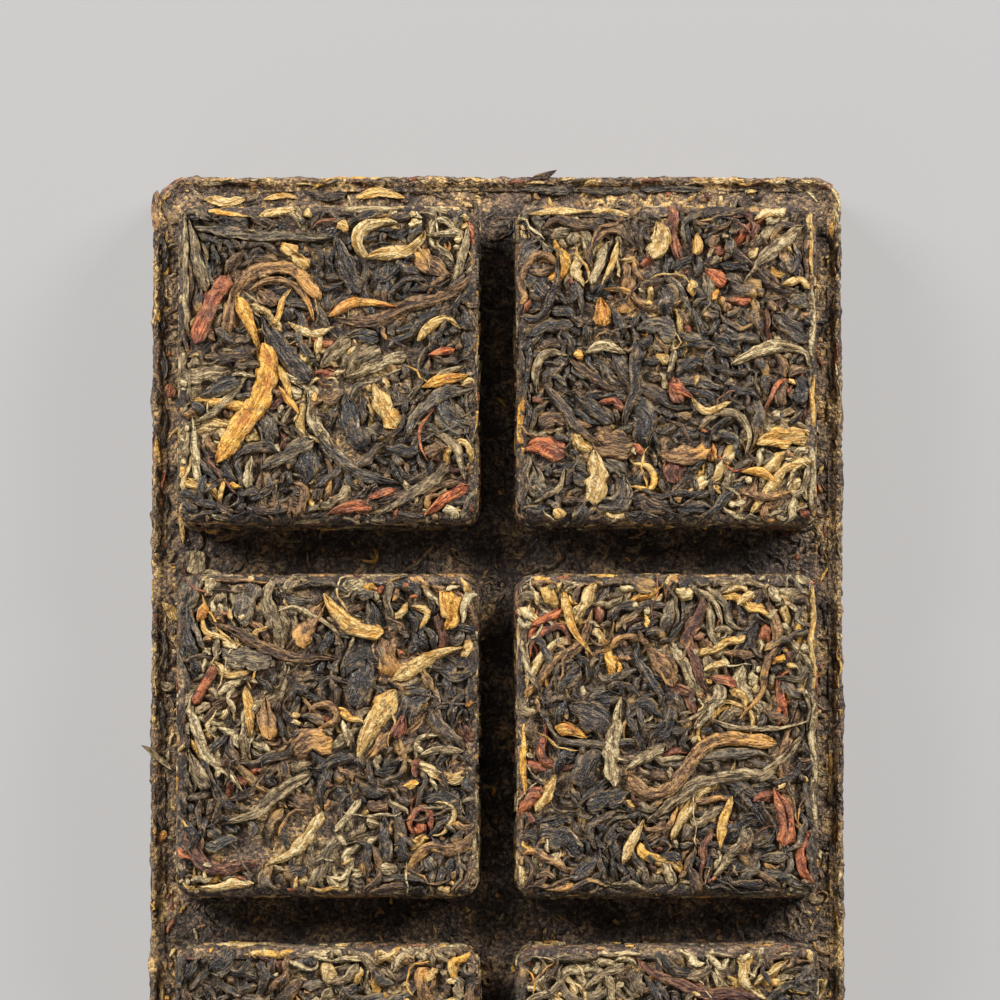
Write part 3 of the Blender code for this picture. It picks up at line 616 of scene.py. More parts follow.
def packed(sizes, gap=0.25, looser=1.02):
    """Corners for rectangles set in rows that fill a square, and the square's side."""
    order = sorted(range(len(sizes)), key=lambda i: -sizes[i][1])
    side = looser * math.sqrt(sum((a + gap) * (b + gap) for a, b in sizes))
    side = max(side, max(a for a, b in sizes) + 2 * gap)
    while True:
        corners = [None] * len(sizes)
        x, y, deep = gap, gap, 0.0
        for i in order:
            wide, high = sizes[i]
            if x + wide + gap > side:
                x = gap
                y += deep + gap
                deep = 0.0
            corners[i] = (x, y)
            x += wide + gap
            deep = max(deep, high)
        if y + deep + gap <= side:
            return corners, side
        side *= looser


WIGGLE, WIGGLE_RATE = 0.25, 4.6 * math.pi  # a leaf's small waves


def wander(start, heading, length, bend, wave, phase, count):
    """Leaves' middle lines on the unrolled surface, one a row, through start halfway."""
    share = np.linspace(0.0, 1.0, count)[None]
    angle = heading[:, None] + bend[:, None] * (share - 0.5)
    angle = angle + wave[:, None] * np.sin(2 * math.pi * share + phase[:, None])
    angle = angle + WIGGLE * np.sin(WIGGLE_RATE * share + 2 * phase[:, None])
    step = (length / (count - 1))[:, None, None]
    line = np.cumsum(np.stack((np.cos(angle), np.sin(angle)), -1) * step, 1)
    return line - line[:, count // 2][:, None] + start[:, None]


def distances(line):
    """How far along a line each of its points is."""
    return np.concatenate(([0.0], np.cumsum(np.linalg.norm(np.diff(line, axis=0), axis=1))))


def sideways(line):
    """Unit vectors across a line, at each of its points."""
    ahead = np.empty_like(line)
    ahead[..., 1:-1, :] = line[..., 2:, :] - line[..., :-2, :]
    ahead[..., 0, :] = line[..., 1, :] - line[..., 0, :]
    ahead[..., -1, :] = line[..., -1, :] - line[..., -2, :]
    ahead /= np.linalg.norm(ahead, axis=-1)[..., None] + 1e-9
    return np.stack((-ahead[..., 1], ahead[..., 0]), -1)


def drifting(rng, count, lanes, knots):
    """Random numbers that change slowly along a leaf: one row a sample, one column a lane."""
    coarse = rng.normal(0.0, 1.0, (knots, lanes))
    at = np.linspace(0.0, knots - 1.001, count)
    low = at.astype(int)
    part = (at - low)[:, None]
    return coarse[low] * (1 - part) + coarse[low + 1] * part


FORMS = {
    # each end's run and bluntness, edge drop, ridges a mm, their height, raggedness, twist
    "bud": ((0.22, 0.6), (0.75, 0.7), 0.36, 1.0, 0.07, 0.07, 0.3),
    "ribbon": ((0.10, 0.5), (0.16, 0.6), 0.36, 1.0, 0.12, 0.09, 0.3),
    "strand": ((0.30, 0.6), (0.40, 0.6), 0.38, 2.0, 0.17, 0.18, 1.5),
    "stem": ((0.06, 0.5), (0.08, 0.5), 0.40, 1.5, 0.10, 0.07, 0.5),
    "leaf": ((0.45, 0.7), (0.14, 0.4), 0.26, 1.4, 0.20, 0.26, 0.8),
    "chip": ((0.14, 0.4), (0.24, 0.5), 0.24, 1.5, 0.12, 0.34, 0.6),
}
SLOPE_ALONG, SLOPE_ACROSS = 0.30, 0.75  # how steeply a leaf climbs from under others
LEAF_THICKNESS = 0.34
DEEPEST = -1.5
PROUD = 0.08  # how far over its bed a leaf lies
STANDS_OUT = 0.2  # how much of its rise past the pressed plane a leaf keeps
FULL_WIDTH = 1.1  # narrower leaves have less relief
END_WIDTH = 0.10  # a tip's width, as a share of its leaf's
KNOT = 0.5  # how far apart a leaf's edge turns in or out
TURNING = 0.16  # how unsteadily the ridges run along a leaf
GRAIN, RIPPLE, LEAN = 0.055, 0.16, 0.10  # a leaf's random heights: fine, coarse, edge to edge
END_DIP, SKIRT = 0.22, 0.45  # how far the tips sink and the edges fold under


def under_others(surface, places, along, reach):
    """The highest a leaf can lie at each of its samples without a kink or a step."""
    over = surface.look_up(surface.ceiling, places)
    slope = SLOPE_ALONG * np.abs(along[:, None] - along[None])
    over = (over[None] + slope[:, :, None]).min(1)
    apart = SLOPE_ACROSS * np.abs(reach[:, :, None] - reach[:, None])
    over = (over[:, None, :] + apart).min(2)
    return np.maximum(over, DEEPEST)


def take_room(surface, line, aside, along, half, deep):
    """Marks the cells that a leaf covers, and how deep the next leaf there has to lie."""
    samples_a_cell, margin = 1.3, 0.92
    at = np.linspace(0.0, along[-1], max(4, int(samples_a_cell * along[-1] / surface.cell)))
    lanes = max(3, int(samples_a_cell * 2 * half.max() / surface.cell))
    lane = np.linspace(-margin, margin, lanes)[None]
    x, y, side_x, side_y, left, right = (
        np.interp(at, along, column)[:, None] for column in (*line.T, *aside.T, *half.T)
    )
    wide = np.where(lane < 0, left, right) * lane
    where = surface.cells(np.stack((x + side_x * wide, y + side_y * wide), -1))
    i, j = where[..., 0], where[..., 1]
    surface.ceiling[i, j] = np.minimum(surface.ceiling[i, j], np.interp(at, along, deep)[:, None])
    surface.bare[i, j] = False


def lay(surface, line, width, form, kind, tint, heaps, rng, across=PLAIN, lifted=0.0):
    """Lays one leaf: it bends under those already there, and then counts as there."""
    (run_in, blunt_in), (run_out, blunt_out), drop, fineness, crease, ragged, twist = FORMS[form]
    count = len(line)
    aside = sideways(line)
    along = distances(line)
    share = along / along[-1]
    first_end = np.clip(share / run_in, 0.0, 1.0) ** blunt_in
    last_end = np.clip((1 - share) / run_out, 0.0, 1.0) ** blunt_out
    ends = first_end * last_end
    knots = max(4, int(along[-1] / KNOT))
    edges = 1.0 + ragged * np.clip(drifting(rng, count, 2, knots), -2.0, 1.6)
    half = 0.5 * width * (END_WIDTH + (1 - END_WIDTH) * ends)[:, None] * edges
    reach = np.where(across[None] < 0, half[:, :1], half[:, 1:]) * across[None]
    places = line[:, None] + aside[:, None] * reach[..., None]
    over = under_others(surface, places, along, reach)

    size = min(1.0, width / FULL_WIDTH)
    ridges = max(1, round(width * fineness))
    few_knots = max(3, knots // 2)
    turn = twist * (share - 0.5)[:, None] + TURNING * drifting(rng, count, 1, few_knots)
    if ridges == 1:
        turn *= 0.3  # a single ridge keeps nearer the middle
    crest = np.abs(np.sin(math.pi * (ridges * 0.5 * (across[None] + 1) + turn)))
    h = -crease * size * (1 - crest)
    h -= drop * size * np.abs(across[None]) ** rng.uniform(2.5, 5.0) * (0.4 + 0.6 * ends[:, None])
    h += size * GRAIN * rng.normal(0.0, 1.0, (count, len(across)))
    h += size * RIPPLE * drifting(rng, count, len(across), knots)
    lean = rng.normal(0.0, LEAN) + LEAN * drifting(rng, count, 1, few_knots)
    h += lean * size * across[None]
    dip = -END_DIP * size * (1 - ends)
    h += over + dip[:, None] + PROUD + lifted
    h = np.where(h > 0, STANDS_OUT * h, h)
    h[:, [0, -1]] -= SKIRT * size

    points = surface.point(places[..., 0], places[..., 1], h)
    edge = np.repeat(np.abs(across[None]), count, 0)
    edge[:, [0, -1]] += 0.5  # past 1, which tells the material that it is folded under and painted with shade
    heaps[kind].add(points, along, reach, tint, rng.random(), edge=edge, hollow=1 - crest)
    deep = over.mean(1) + dip - LEAF_THICKNESS * size + lifted
    take_room(surface, line, aside, along, half, deep)


def choose(rng, weights):
    """A key drawn by its weight."""
    sums = np.cumsum(list(weights.values()))
    return list(weights)[int(np.searchsorted(sums / sums[-1], rng.random()))]


def choose_kind(rng, surface, place, weights):
    """A kind of leaf and its tint, both paler where the surface has a pale patch."""
    pale = surface.look_up(surface.pale, place)
    leans = {kind: math.exp(PATCHINESS * pale * lean) for kind, (_, _, lean) in KINDS.items()}
    kind = choose(rng, {kind: weight * leans[kind] for kind, weight in weights.items()})
    _, (darkest, palest), _ = KINDS[kind]
    tint = rng.uniform(darkest, palest) + TINT_PATCHINESS * pale
    return kind, min(max(tint, darkest), palest)


SIZE_SHARES = {"long": 0.06, "middling": 0.20, "broad": 0.12, "curl": 0.14, "small": 0.48}
# length range, width range, greatest bend, forms, samples along, samples across
SIZES = {
    "long": ((7.0, 12.0), (0.8, 1.3), 1.6, ("strand", "bud", "strand"), 22, PLAIN),
    "middling": ((3.0, 6.5), (0.6, 1.2), 2.4, ("strand", "leaf", "stem", "leaf"), 13, PLAIN),
    "broad": ((2.6, 5.0), (1.4, 2.4), 1.4, ("leaf",), 11, FINE),
    "curl": ((3.0, 7.0), (0.4, 0.8), 5.5, ("strand",), 15, SMALL),
    "small": ((1.0, 3.0), (0.45, 1.1), 2.2, ("leaf", "strand", "chip", "chip"), 7, SMALL),
}
OPTIONS = 10  # places tried for each leaf
CROWDING = 0.4  # what lying on other leaves costs a place
TUCKED_BONUS, LENGTH_BONUS = 0.4, 0.015  # what ends under other leaves and length add to it
TIGHTEST = 3.8  # the most that a leaf turns from end to end
MOST_LEAVES = 6000  # on one surface
LEAVES_A_LOOK, CRUMBS_A_LOOK = 5, 8  # how many are laid between two looks for bare cells
FINELY_SAMPLED = 9  # lines with more samples than this lose half of them on coarse surfaces


def random_lines(surface, rng, cell, length, width, bend, count):
    """Wandering lines, each through its cell of the surface's raster."""
    tries = len(cell)
    index = np.stack(np.unravel_index(cell, surface.bare.shape), -1)
    start = surface.low + surface.cell * (index + 0.5)
    heading, phase = rng.uniform(0, 2 * math.pi, (2, tries))
    bends = np.clip(rng.normal(0, bend / 2, tries), -TIGHTEST, TIGHTEST)
    lines = wander(start, heading, length, bends, rng.uniform(0, 0.6, tries), phase, count)
    return kept_inside(surface, lines, width)


def strew(surface, heaps, rng, bare_left, scale=1.0, coarse=False):
    """Lays leaves where the surface is bare until only the share bare_left of it still is."""
    goal = bare_left * surface.bare.sum()
    for number in range(MOST_LEAVES):
        if number % LEAVES_A_LOOK == 0:
            open_cells = np.flatnonzero(surface.bare)
        if len(open_cells) <= goal:
            break
        size = choose(rng, SIZE_SHARES)
        lengths, widths, bend, forms, count, across = SIZES[size]
        cell = open_cells[rng.integers(len(open_cells), size=OPTIONS)]
        length = scale * rng.uniform(*lengths, OPTIONS)
        width = scale * rng.uniform(*widths, OPTIONS)
        lines = random_lines(surface, rng, cell, length, width, bend, count)
        lane = np.array((-0.3, 0.0, 0.3)) * width[:, None]
        spots = lines[:, :, None] + sideways(lines)[:, :, None] * lane[:, None, :, None]
        fresh = surface.is_bare(spots).mean(2)
        tucked = 1 - 0.5 * (fresh[:, 0] + fresh[:, -1])
        fresh = fresh[:, 1:-1].mean(1)
        score = fresh - CROWDING * (1 - fresh) + TUCKED_BONUS * tucked * (fresh > 0.3)
        score += LENGTH_BONUS * length
        best = int(score.argmax())
        if score[best] <= 0.0:
            continue
        line = lines[best]
        if coarse:
            line = line[::2] if count > FINELY_SAMPLED else line
            across = COARSE
        kinds = BROAD_KINDS if size == "broad" else LEAF_KINDS
        kind, tint = choose_kind(rng, surface, line[len(line) // 2], kinds)
        form = forms[rng.integers(len(forms))]
        lay(surface, line, width[best], form, kind, tint, heaps, rng, across)


def scatter(surface, heaps, rng, count, lengths, widths, bend=0.8):
    """Lays up to count crumbs or fibres, each in a bare place."""
    for number in range(count):
        if number % CRUMBS_A_LOOK == 0:
            open_cells = np.flatnonzero(surface.bare)
        if not len(open_cells):
            break
        cell = open_cells[rng.integers(len(open_cells), size=1)]
        length, width = rng.uniform(*lengths, 1), rng.uniform(*widths, 1)
        line = random_lines(surface, rng, cell, length, width, bend, max(5, int(2 * length[0])))[0]
        kind, tint = choose_kind(rng, surface, line[len(line) // 2], CRUMB_KINDS)
        lay(surface, line, width[0], "chip", kind, tint, heaps, rng, COARSE)


def edge_leaves(face, heaps, rng, count, lengths, widths):
    """Leaves bent along a pressed face's edges, on their rounding."""
    for _ in range(count):
        side = rng.integers(4)
        length = rng.uniform(*lengths)
        width = rng.uniform(*widths)
        reach = face.flat_half[1 - side % 2] - length / 2
        middle = rng.uniform(-reach, reach)
        samples = int(2.2 * length) + 4
        run = np.linspace(-0.5, 0.5, samples) * length
        off = face.flat_half[side % 2] + rng.uniform(0.1, 0.9)
        off = off + 0.35 * drifting(rng, samples, 1, 4)[:, 0]
        line = np.stack((off, middle + run) if side % 2 == 0 else (middle + run, off), -1)
        line *= 1 if side < 2 else -1
        kind, tint = choose_kind(rng, face, line[samples // 2], EDGE_KINDS)
        lay(face, line, width, "strand", kind, tint, heaps, rng, PLAIN)


def kept_inside(surface, lines, width):
    """Bends lines back along the surface's edges, as the mould would."""
    margin = surface.inset + 0.3 * width[:, None, None]
    kept = np.clip(lines, surface.low + margin, surface.high - margin)
    if surface.wraps:
        kept[..., 0] = lines[..., 0]
    return kept


def picture_ray(x, y):
    """The line of sight through a pixel of the picture: where from, and which way."""
    right = np.array((1.0, 0.0, 0.0))
    up = np.array((0.0, math.cos(TILT), math.sin(TILT)))
    back = np.array((0.0, -math.sin(TILT), math.cos(TILT)))
    eye = AIM + DISTANCE * back
    middle = PICTURE_SIZE / 2
    return eye, right * (x - middle) * PIXEL + up * (middle - y) * PIXEL - back * DISTANCE


def seen_at(x, y, height):
    """Where a pixel of the picture meets the plane at a height."""
    eye, way = picture_ray(x, y)
    return (eye + way * (height - eye[2]) / way[2])[:2]


def smooth_line(points, count):
    """count points evenly along a Catmull-Rom curve through the given ones."""
    ends = np.vstack((2 * points[0] - points[1], points, 2 * points[-1] - points[-2]))
    spans = len(points) - 1
    at = np.linspace(0.0, spans - 1e-6, 8 * count)
    k = at.astype(int)
    t = (at - k)[:, None]
    a, b, c, d = (ends[k + i] for i in range(4))
    straight = 2 * b + (c - a) * t
    square = (2 * a - 5 * b + 4 * c - d) * t**2
    cube = (3 * b - a - 3 * c + d) * t**3
    curve = 0.5 * (straight + square + cube)
    run = distances(curve)
    even = np.linspace(0.0, run[-1], count)
    return np.stack([np.interp(even, run, curve[:, i]) for i in (0, 1)], -1)


NOTED_SAMPLES = 2.4  # a millimetre
UNSTEADY = 0.07


def noted_line(rng, trail, height, middle):
    """The line of a noted leaf, seen from a surface's middle, a little unsteady."""
    places = np.array([seen_at(x, y, height) for x, y in zip(trail[::2], trail[1::2])])
    length = distances(places)[-1]
    line = smooth_line(places - middle, int(np.clip(NOTED_SAMPLES * length, 9, 40)))
    return line + UNSTEADY * drifting(rng, len(line), 2, max(3, int(length / 1.5)))


def note_patches(face):
    """Adds the noted pale and dark stretches to a face's own."""
    for x, y, reach, amount in NOTED_PATCHES.values():
        apart = face.centres() + face.centre - seen_at(x, y, FACE_HEIGHT)
        face.pale += amount * np.exp(-(apart**2).sum(-1) / (reach * PIXEL) ** 2)


def lay_noted(faces, heaps, rng):
    """Lays the noted leaves, each on the pressed face that it is over."""
    for kind, tint, width, form, trail in NOTED.values():
        halfway = seen_at(np.mean(trail[::2]), np.mean(trail[1::2]), FACE_HEIGHT)
        face = min(faces, key=lambda one: np.abs((one.centre - halfway) / PIECE_HALF).max())
        line = noted_line(rng, trail, FACE_HEIGHT, face.centre)
        lay(face, line, width * PIXEL, form, kind, tint, heaps, rng, FINE)


def lay_noted_low(floor, noted, lifted, heaps, rng):
    """Lays noted leaves on the slab, lifted so that they show over its crumb."""
    for kind, tint, width, form, trail in noted.values():
        line = noted_line(rng, trail, SLAB_HEIGHT, 0.0)
        lay(floor, line, width * PIXEL, form, kind, tint, heaps, rng, PLAIN, lifted)


def trim_rim(rim, heaps, rng):
    """Broken bits pressed together along the crest of the lip."""
    u = 0.0
    while u < rim.high[0]:
        length = rng.uniform(0.5, 2.4)
        count = int(length * 2) + 4
        v = CREST + rng.normal(0.0, 0.22) + 0.16 * drifting(rng, count, 1, 4)[:, 0]
        line = np.stack((np.linspace(u, u + length, count), v), -1)
        kind, tint = choose_kind(rng, rim, line[0], RIM_KINDS)
        lifted = rng.uniform(-0.12, 0.1)
        lay(rim, line, rng.uniform(0.25, 0.75), "chip", kind, tint, heaps, rng, COARSE, lifted)
        u += length * rng.uniform(0.3, 1.3)


def piece_wall(centre, top):
    """A raised piece's drafted side, from a little down its rounded edge to the slab."""
    profile = wall_profile()
    return Strip(centre, PIECE_HALF, CORNER_RADIUS, stretch=0.6, profile=profile, top=top)


def brick_rim():
    """The brick's edge all round, from the ledge to the back."""
    profile = rim_profile()
    return Rim((0.0, 0.0), BRICK_HALF, BRICK_CORNER_RADIUS, stretch=0.0, profile=profile)


# how many crumbs, fibres and such lie on a surface, their lengths and their widths
TOP_CRUMBS = (110, (0.5, 1.3), (0.25, 0.6))
FIBRES = (36, (2.0, 5.0), (0.12, 0.28))
FILLING_CRUMBS = (130, (0.6, 1.5), (0.4, 0.8))
WALL_CRUMBS = (90, (0.4, 1.1), (0.2, 0.45))
FLOOR_CRUMBS = (1000, (0.4, 1.1), (0.2, 0.5))
EDGE_LEAVES = (10, (1.5, 5.5), (0.4, 1.0))
WALL_TOP = 1.2  # leaves on a raised piece's side start this far down its profile


def cover_face(face, heaps, rng):
    """Outermost the crumbs and fibres, then leaves, and crumbs again in what gaps are left."""
    note_patches(face)
    scatter(face, heaps, rng, *TOP_CRUMBS)
    scatter(face, heaps, rng, *FIBRES, bend=3.0)
    edge_leaves(face, heaps, rng, *EDGE_LEAVES)
    strew(face, heaps, rng, bare_left=0.06)
    scatter(face, heaps, rng, *FILLING_CRUMBS)


def make_leaves():
    """Covers the whole brick and returns the heaps by zone and kind."""
    rng = np.random.default_rng(SEED)
    on_faces, on_sides, on_back = ({kind: Heap() for kind in KINDS} for _ in range(3))
    faces = [Face(centre, rng) for centre in piece_centres()]
    lay_noted(faces, on_faces, rng)
    for face in faces:
        cover_face(face, on_faces, rng)
    for centre in piece_centres():
        wall = piece_wall(centre, WALL_TOP)
        strew(wall, on_sides, rng, bare_left=0.72, scale=0.6, coarse=True)
        scatter(wall, on_sides, rng, *WALL_CRUMBS)
    floor = floor_surface()
    lay_noted_low(floor, NOTED_LOW, LOW_LIFT, on_sides, rng)
    lay_noted_low(floor, NOTED_TWIGS, TWIG_LIFT, on_sides, rng)
    strew(floor, on_sides, rng, bare_left=0.8, scale=0.45, coarse=True)
    scatter(floor, on_sides, rng, *FLOOR_CRUMBS)
    rim = brick_rim()
    trim_rim(rim, on_sides, rng)
    strew(rim, on_sides, rng, bare_left=0.25, scale=0.8, coarse=True)
    strew(back_surface(), on_back, rng, bare_left=0.16, scale=1.3, coarse=True)
    return {"faces": on_faces, "sides": on_sides, "back": on_back}


def mesh_object(name, heap, material):
    """A heap's leaves as one mesh, with their marks and with UV maps for looks and baking."""
    used, faces = np.unique(np.concatenate(heap.faces), return_inverse=True)
    faces = faces.reshape(-1, 4)
    points = np.concatenate(heap.points)[used] * MM
    mesh = bpy.data.meshes.new(name)
    mesh.vertices.add(len(points))
    mesh.vertices.foreach_set("co", points.astype(np.float32).ravel())
    mesh.loops.add(4 * len(faces))
    mesh.loops.foreach_set("vertex_index", faces.astype(np.int32).ravel())
    mesh.polygons.add(len(faces))
    mesh.polygons.foreach_set("loop_start", np.arange(0, 4 * len(faces), 4, dtype=np.int32))
    mesh.update(calc_edges=True)
    mesh.validate()
    flat = faces.ravel()
    corners, side = packed(heap.sizes)
    baked = [uv + np.array(corner) for uv, corner in zip(heap.bake_uv, corners)]
    layers = {"leaf": np.concatenate(heap.leaf_uv), "OFBake": np.concatenate(baked) / side}
    for layer, uv in layers.items():
        made = mesh.uv_layers.new(name=layer)
        made.uv.foreach_set("vector", uv[used][flat].astype(np.float32).ravel())
    marks = mesh.attributes.new("mark", "FLOAT_COLOR", "POINT")
    marks.data.foreach_set("color", np.concatenate(heap.marks)[used].astype(np.float32).ravel())
    mesh.shade_smooth()
    mesh.materials.append(material)
    obj = bpy.data.objects.new(name, mesh)
    bpy.context.scene.collection.objects.link(obj)
    return obj


# --- The core ---------------------------------------------------------------------------


LUMP = 2.4  # how far apart the crumb's lumps are
# how much golden hair the crumb shows, less in the grooves as painted shade and more on the lip's crest,
# partly as a painted highlight
GROOVE_SHADED_GOLD, WALL_GOLD, LEDGE_GOLD, CREST_GOLD_AND_HIGHLIGHT, SIDE_GOLD = 0.32, 0.36, 0.57, 0.74, 0.40
# how far in from a pressed face's raster and from the brick's sides sheets of crumb end
FACE_INSET, FLOOR_INSET, BACK_INSET = 0.3, 0.7, 0.75
WALL_SHIFT = 0.2  # how much further down a raised piece's side its crumb lies


def ledge_gold_and_groove_shade(u, v):
    """Golden hair on the ledge round the pieces; darker crumb in the grooves between them, as painted
    shade.
    """
    inwards = from_edge(np.stack((u, v), -1))
    change = (GROOVES_INSIDE - 0.4, GROOVES_INSIDE + 0.6)
    return np.interp(inwards, change, (LEDGE_GOLD, GROOVE_SHADED_GOLD))


def under_edge(_, v):
    """How deep a wall's crumb lies: at the pressed face's edge it dips under the leaves."""
    return np.interp(v, (0.2, 1.1), (-0.65, -0.18))


def crest_gold_and_highlight(_, v):
    """Palest on the crest of the lip, partly golden hair and partly a painted highlight, and least golden
    hair on the brick's side.
    """
    return np.interp(v, (0.2, CREST, 1.8), (LEDGE_GOLD, CREST_GOLD_AND_HIGHLIGHT, SIDE_GOLD))


def core_object(material):
    """The crumb between and under the leaves: every surface again, a little set back."""
    rng = np.random.default_rng(SEED + 1)
    heap = Heap()

    def sheet(surface, low, high, step, deep, rough, golden=0.5, lumps=0.0, wanted=None):
        counts = [max(2, int((high[i] - low[i]) / step)) for i in (0, 1)]
        spans = [np.linspace(low[i], high[i], counts[i]) for i in (0, 1)]
        u, v = np.meshgrid(*spans, indexing="ij")
        height = rough * (0.6 * rng.normal(0.0, 1.0, u.shape) + 0.8 * blotches(rng, u.shape, 3))
        height += lumps * blotches(rng, u.shape, LUMP / step)
        if surface.wraps:
            height[-1] = height[0]
        height = np.clip(height, -2 * rough - lumps, 1.6 * rough + lumps)
        below = deep(u, v) if callable(deep) else deep
        points = surface.point(u, v, below + height)
        share = golden(u, v) if callable(golden) else golden
        keep = None
        if wanted is not None:
            keep = wanted(np.stack((u, v), -1)[:-1, :-1] + step / 2)
        heap.add(points, u[:, 0], v, share, rng.random(), keep=keep)

    for centre in piece_centres():
        face = Face(centre, rng)
        low, high = face.low + FACE_INSET, face.high - FACE_INSET
        sheet(face, low, high, step=0.7, deep=-0.7, rough=0.12)
        wall = piece_wall(centre, 0.0)
        low, high = (0.0, WALL_SHIFT), (wall.starts[-1], wall.profile.length + WALL_SHIFT)
        sheet(wall, low, high, 0.46, under_edge, rough=0.11, golden=WALL_GOLD, lumps=0.06)
    floor = floor_surface()
    half = BRICK_HALF - FLOOR_INSET
    sheet(floor, -half, half, 0.34, -0.14, 0.13, ledge_gold_and_groove_shade, lumps=0.05, wanted=floor.is_bare)
    rim = brick_rim()
    around = (rim.starts[-1], rim.profile.length)
    sheet(rim, (0.0, 0.0), around, 0.4, -0.07, 0.11, crest_gold_and_highlight, lumps=0.10)
    half = BRICK_HALF - BACK_INSET
    sheet(Plane(BACK_HEIGHT, -1.0), -half, half, step=1.1, deep=-0.45, rough=0.1)
    return mesh_object("core", heap, material)


# --- Materials --------------------------------------------------------------------------


def srgb(red, green, blue):
    """A colour given as seen on a screen, 0 to 255."""
    found = []
    for value in (red, green, blue):
        value /= 255
        found.append(value / 12.92 if value <= 0.04045 else ((value + 0.055) / 1.055) ** 2.4)
    return (*found, 1.0)


SHADE_AND_SPECK_BLACK = (0.0145, 0.0072, 0.0038, 1.0)  # painted shade in gaps, under leaves' edges and in the crumb's hollows, and the colour of dark specks
DUST = srgb(160, 126, 82)


class Nodes:
    """Adds nodes to a material."""

    def __init__(self, name):
        self.material = bpy.data.materials.new(name)
        self.material.use_nodes = True
        self.tree = self.material.node_tree
        self.shader = self.tree.nodes["Principled BSDF"]

    def add(self, kind, output=0, settings=None, **inputs):
        """Inputs are given by name, with _ for a space, or by number, as in n0."""
        node = self.tree.nodes.new(kind)
        for key, value in (settings or {}).items():
            setattr(node, key, value)
        for key, value in inputs.items():
            self.feed(node, int(key[1:]) if key[1:].isdigit() else key.replace("_", " "), value)
        return node.outputs[output]

    def feed(self, node, key, value):
        socket = node.inputs[key]
        if isinstance(value, bpy.types.NodeSocket):
            self.tree.links.new(value, socket)
        else:
            socket.default_value = value

    def math(self, operation, first, second=0.0, clamp=False):
        settings = {"operation": operation, "use_clamp": clamp}
        return self.add("ShaderNodeMath", 0, settings, n0=first, n1=second)

    def plus(self, first, second, clamp=False):
        return self.math("ADD", first, second, clamp)

    def minus(self, first, second):
        return self.math("SUBTRACT", first, second)

    def times(self, first, second):
        return self.math("MULTIPLY", first, second)

    def step(self, value, low, high):
        """0 below low, 1 above high, and smooth between."""
        settings = {"interpolation_type": "SMOOTHSTEP"}
        return self.add(
            "ShaderNodeMapRange", 0, settings, Value=value, From_Min=low, From_Max=high
        )

    def mix(self, share, first, second, blend="MIX"):
        settings = {"data_type": "RGBA", "blend_type": blend}
        return self.add("ShaderNodeMix", 2, settings, n0=share, n6=first, n7=second)

    def noise(self, place, scale, detail, rough=0.5, output="Fac"):
        return self.add(
            "ShaderNodeTexNoise", output, Vector=place, Scale=scale, Detail=detail, Roughness=rough
        )

    def ramp(self, value, stops):
        node = self.tree.nodes.new("ShaderNodeValToRGB")
        self.feed(node, 0, value)
        while len(node.color_ramp.elements) < len(stops):
            node.color_ramp.elements.new(0.5)
        for element, (place, colour) in zip(node.color_ramp.elements, stops):
            element.position = place
            element.color = colour
        return node.outputs[0]

    def place(self):
        """Where on the object a point is."""
        return self.add("ShaderNodeTexCoord", "Object")

    def mark(self, output="Color"):
        """What Heap.add marked the point with."""
        return self.add("ShaderNodeAttribute", output, {"attribute_name": "mark"})

    def parts(self, colour):
        """The three parts of a colour."""
        node = self.tree.nodes.new("ShaderNodeSeparateColor")
        self.feed(node, 0, colour)
        return tuple(node.outputs)

    def finish(self, colour, rough, height, bumpy, deep):
        """Sets the material's colour, its roughness and a bump, deep in millimetres."""
        bump = self.add("ShaderNodeBump", 0, Strength=bumpy, Distance=deep * MM, Height=height)
        for key, value in {"Base Color": colour, "Roughness": rough, "Normal": bump}.items():
            self.feed(self.shader, key, value)
        return self.material


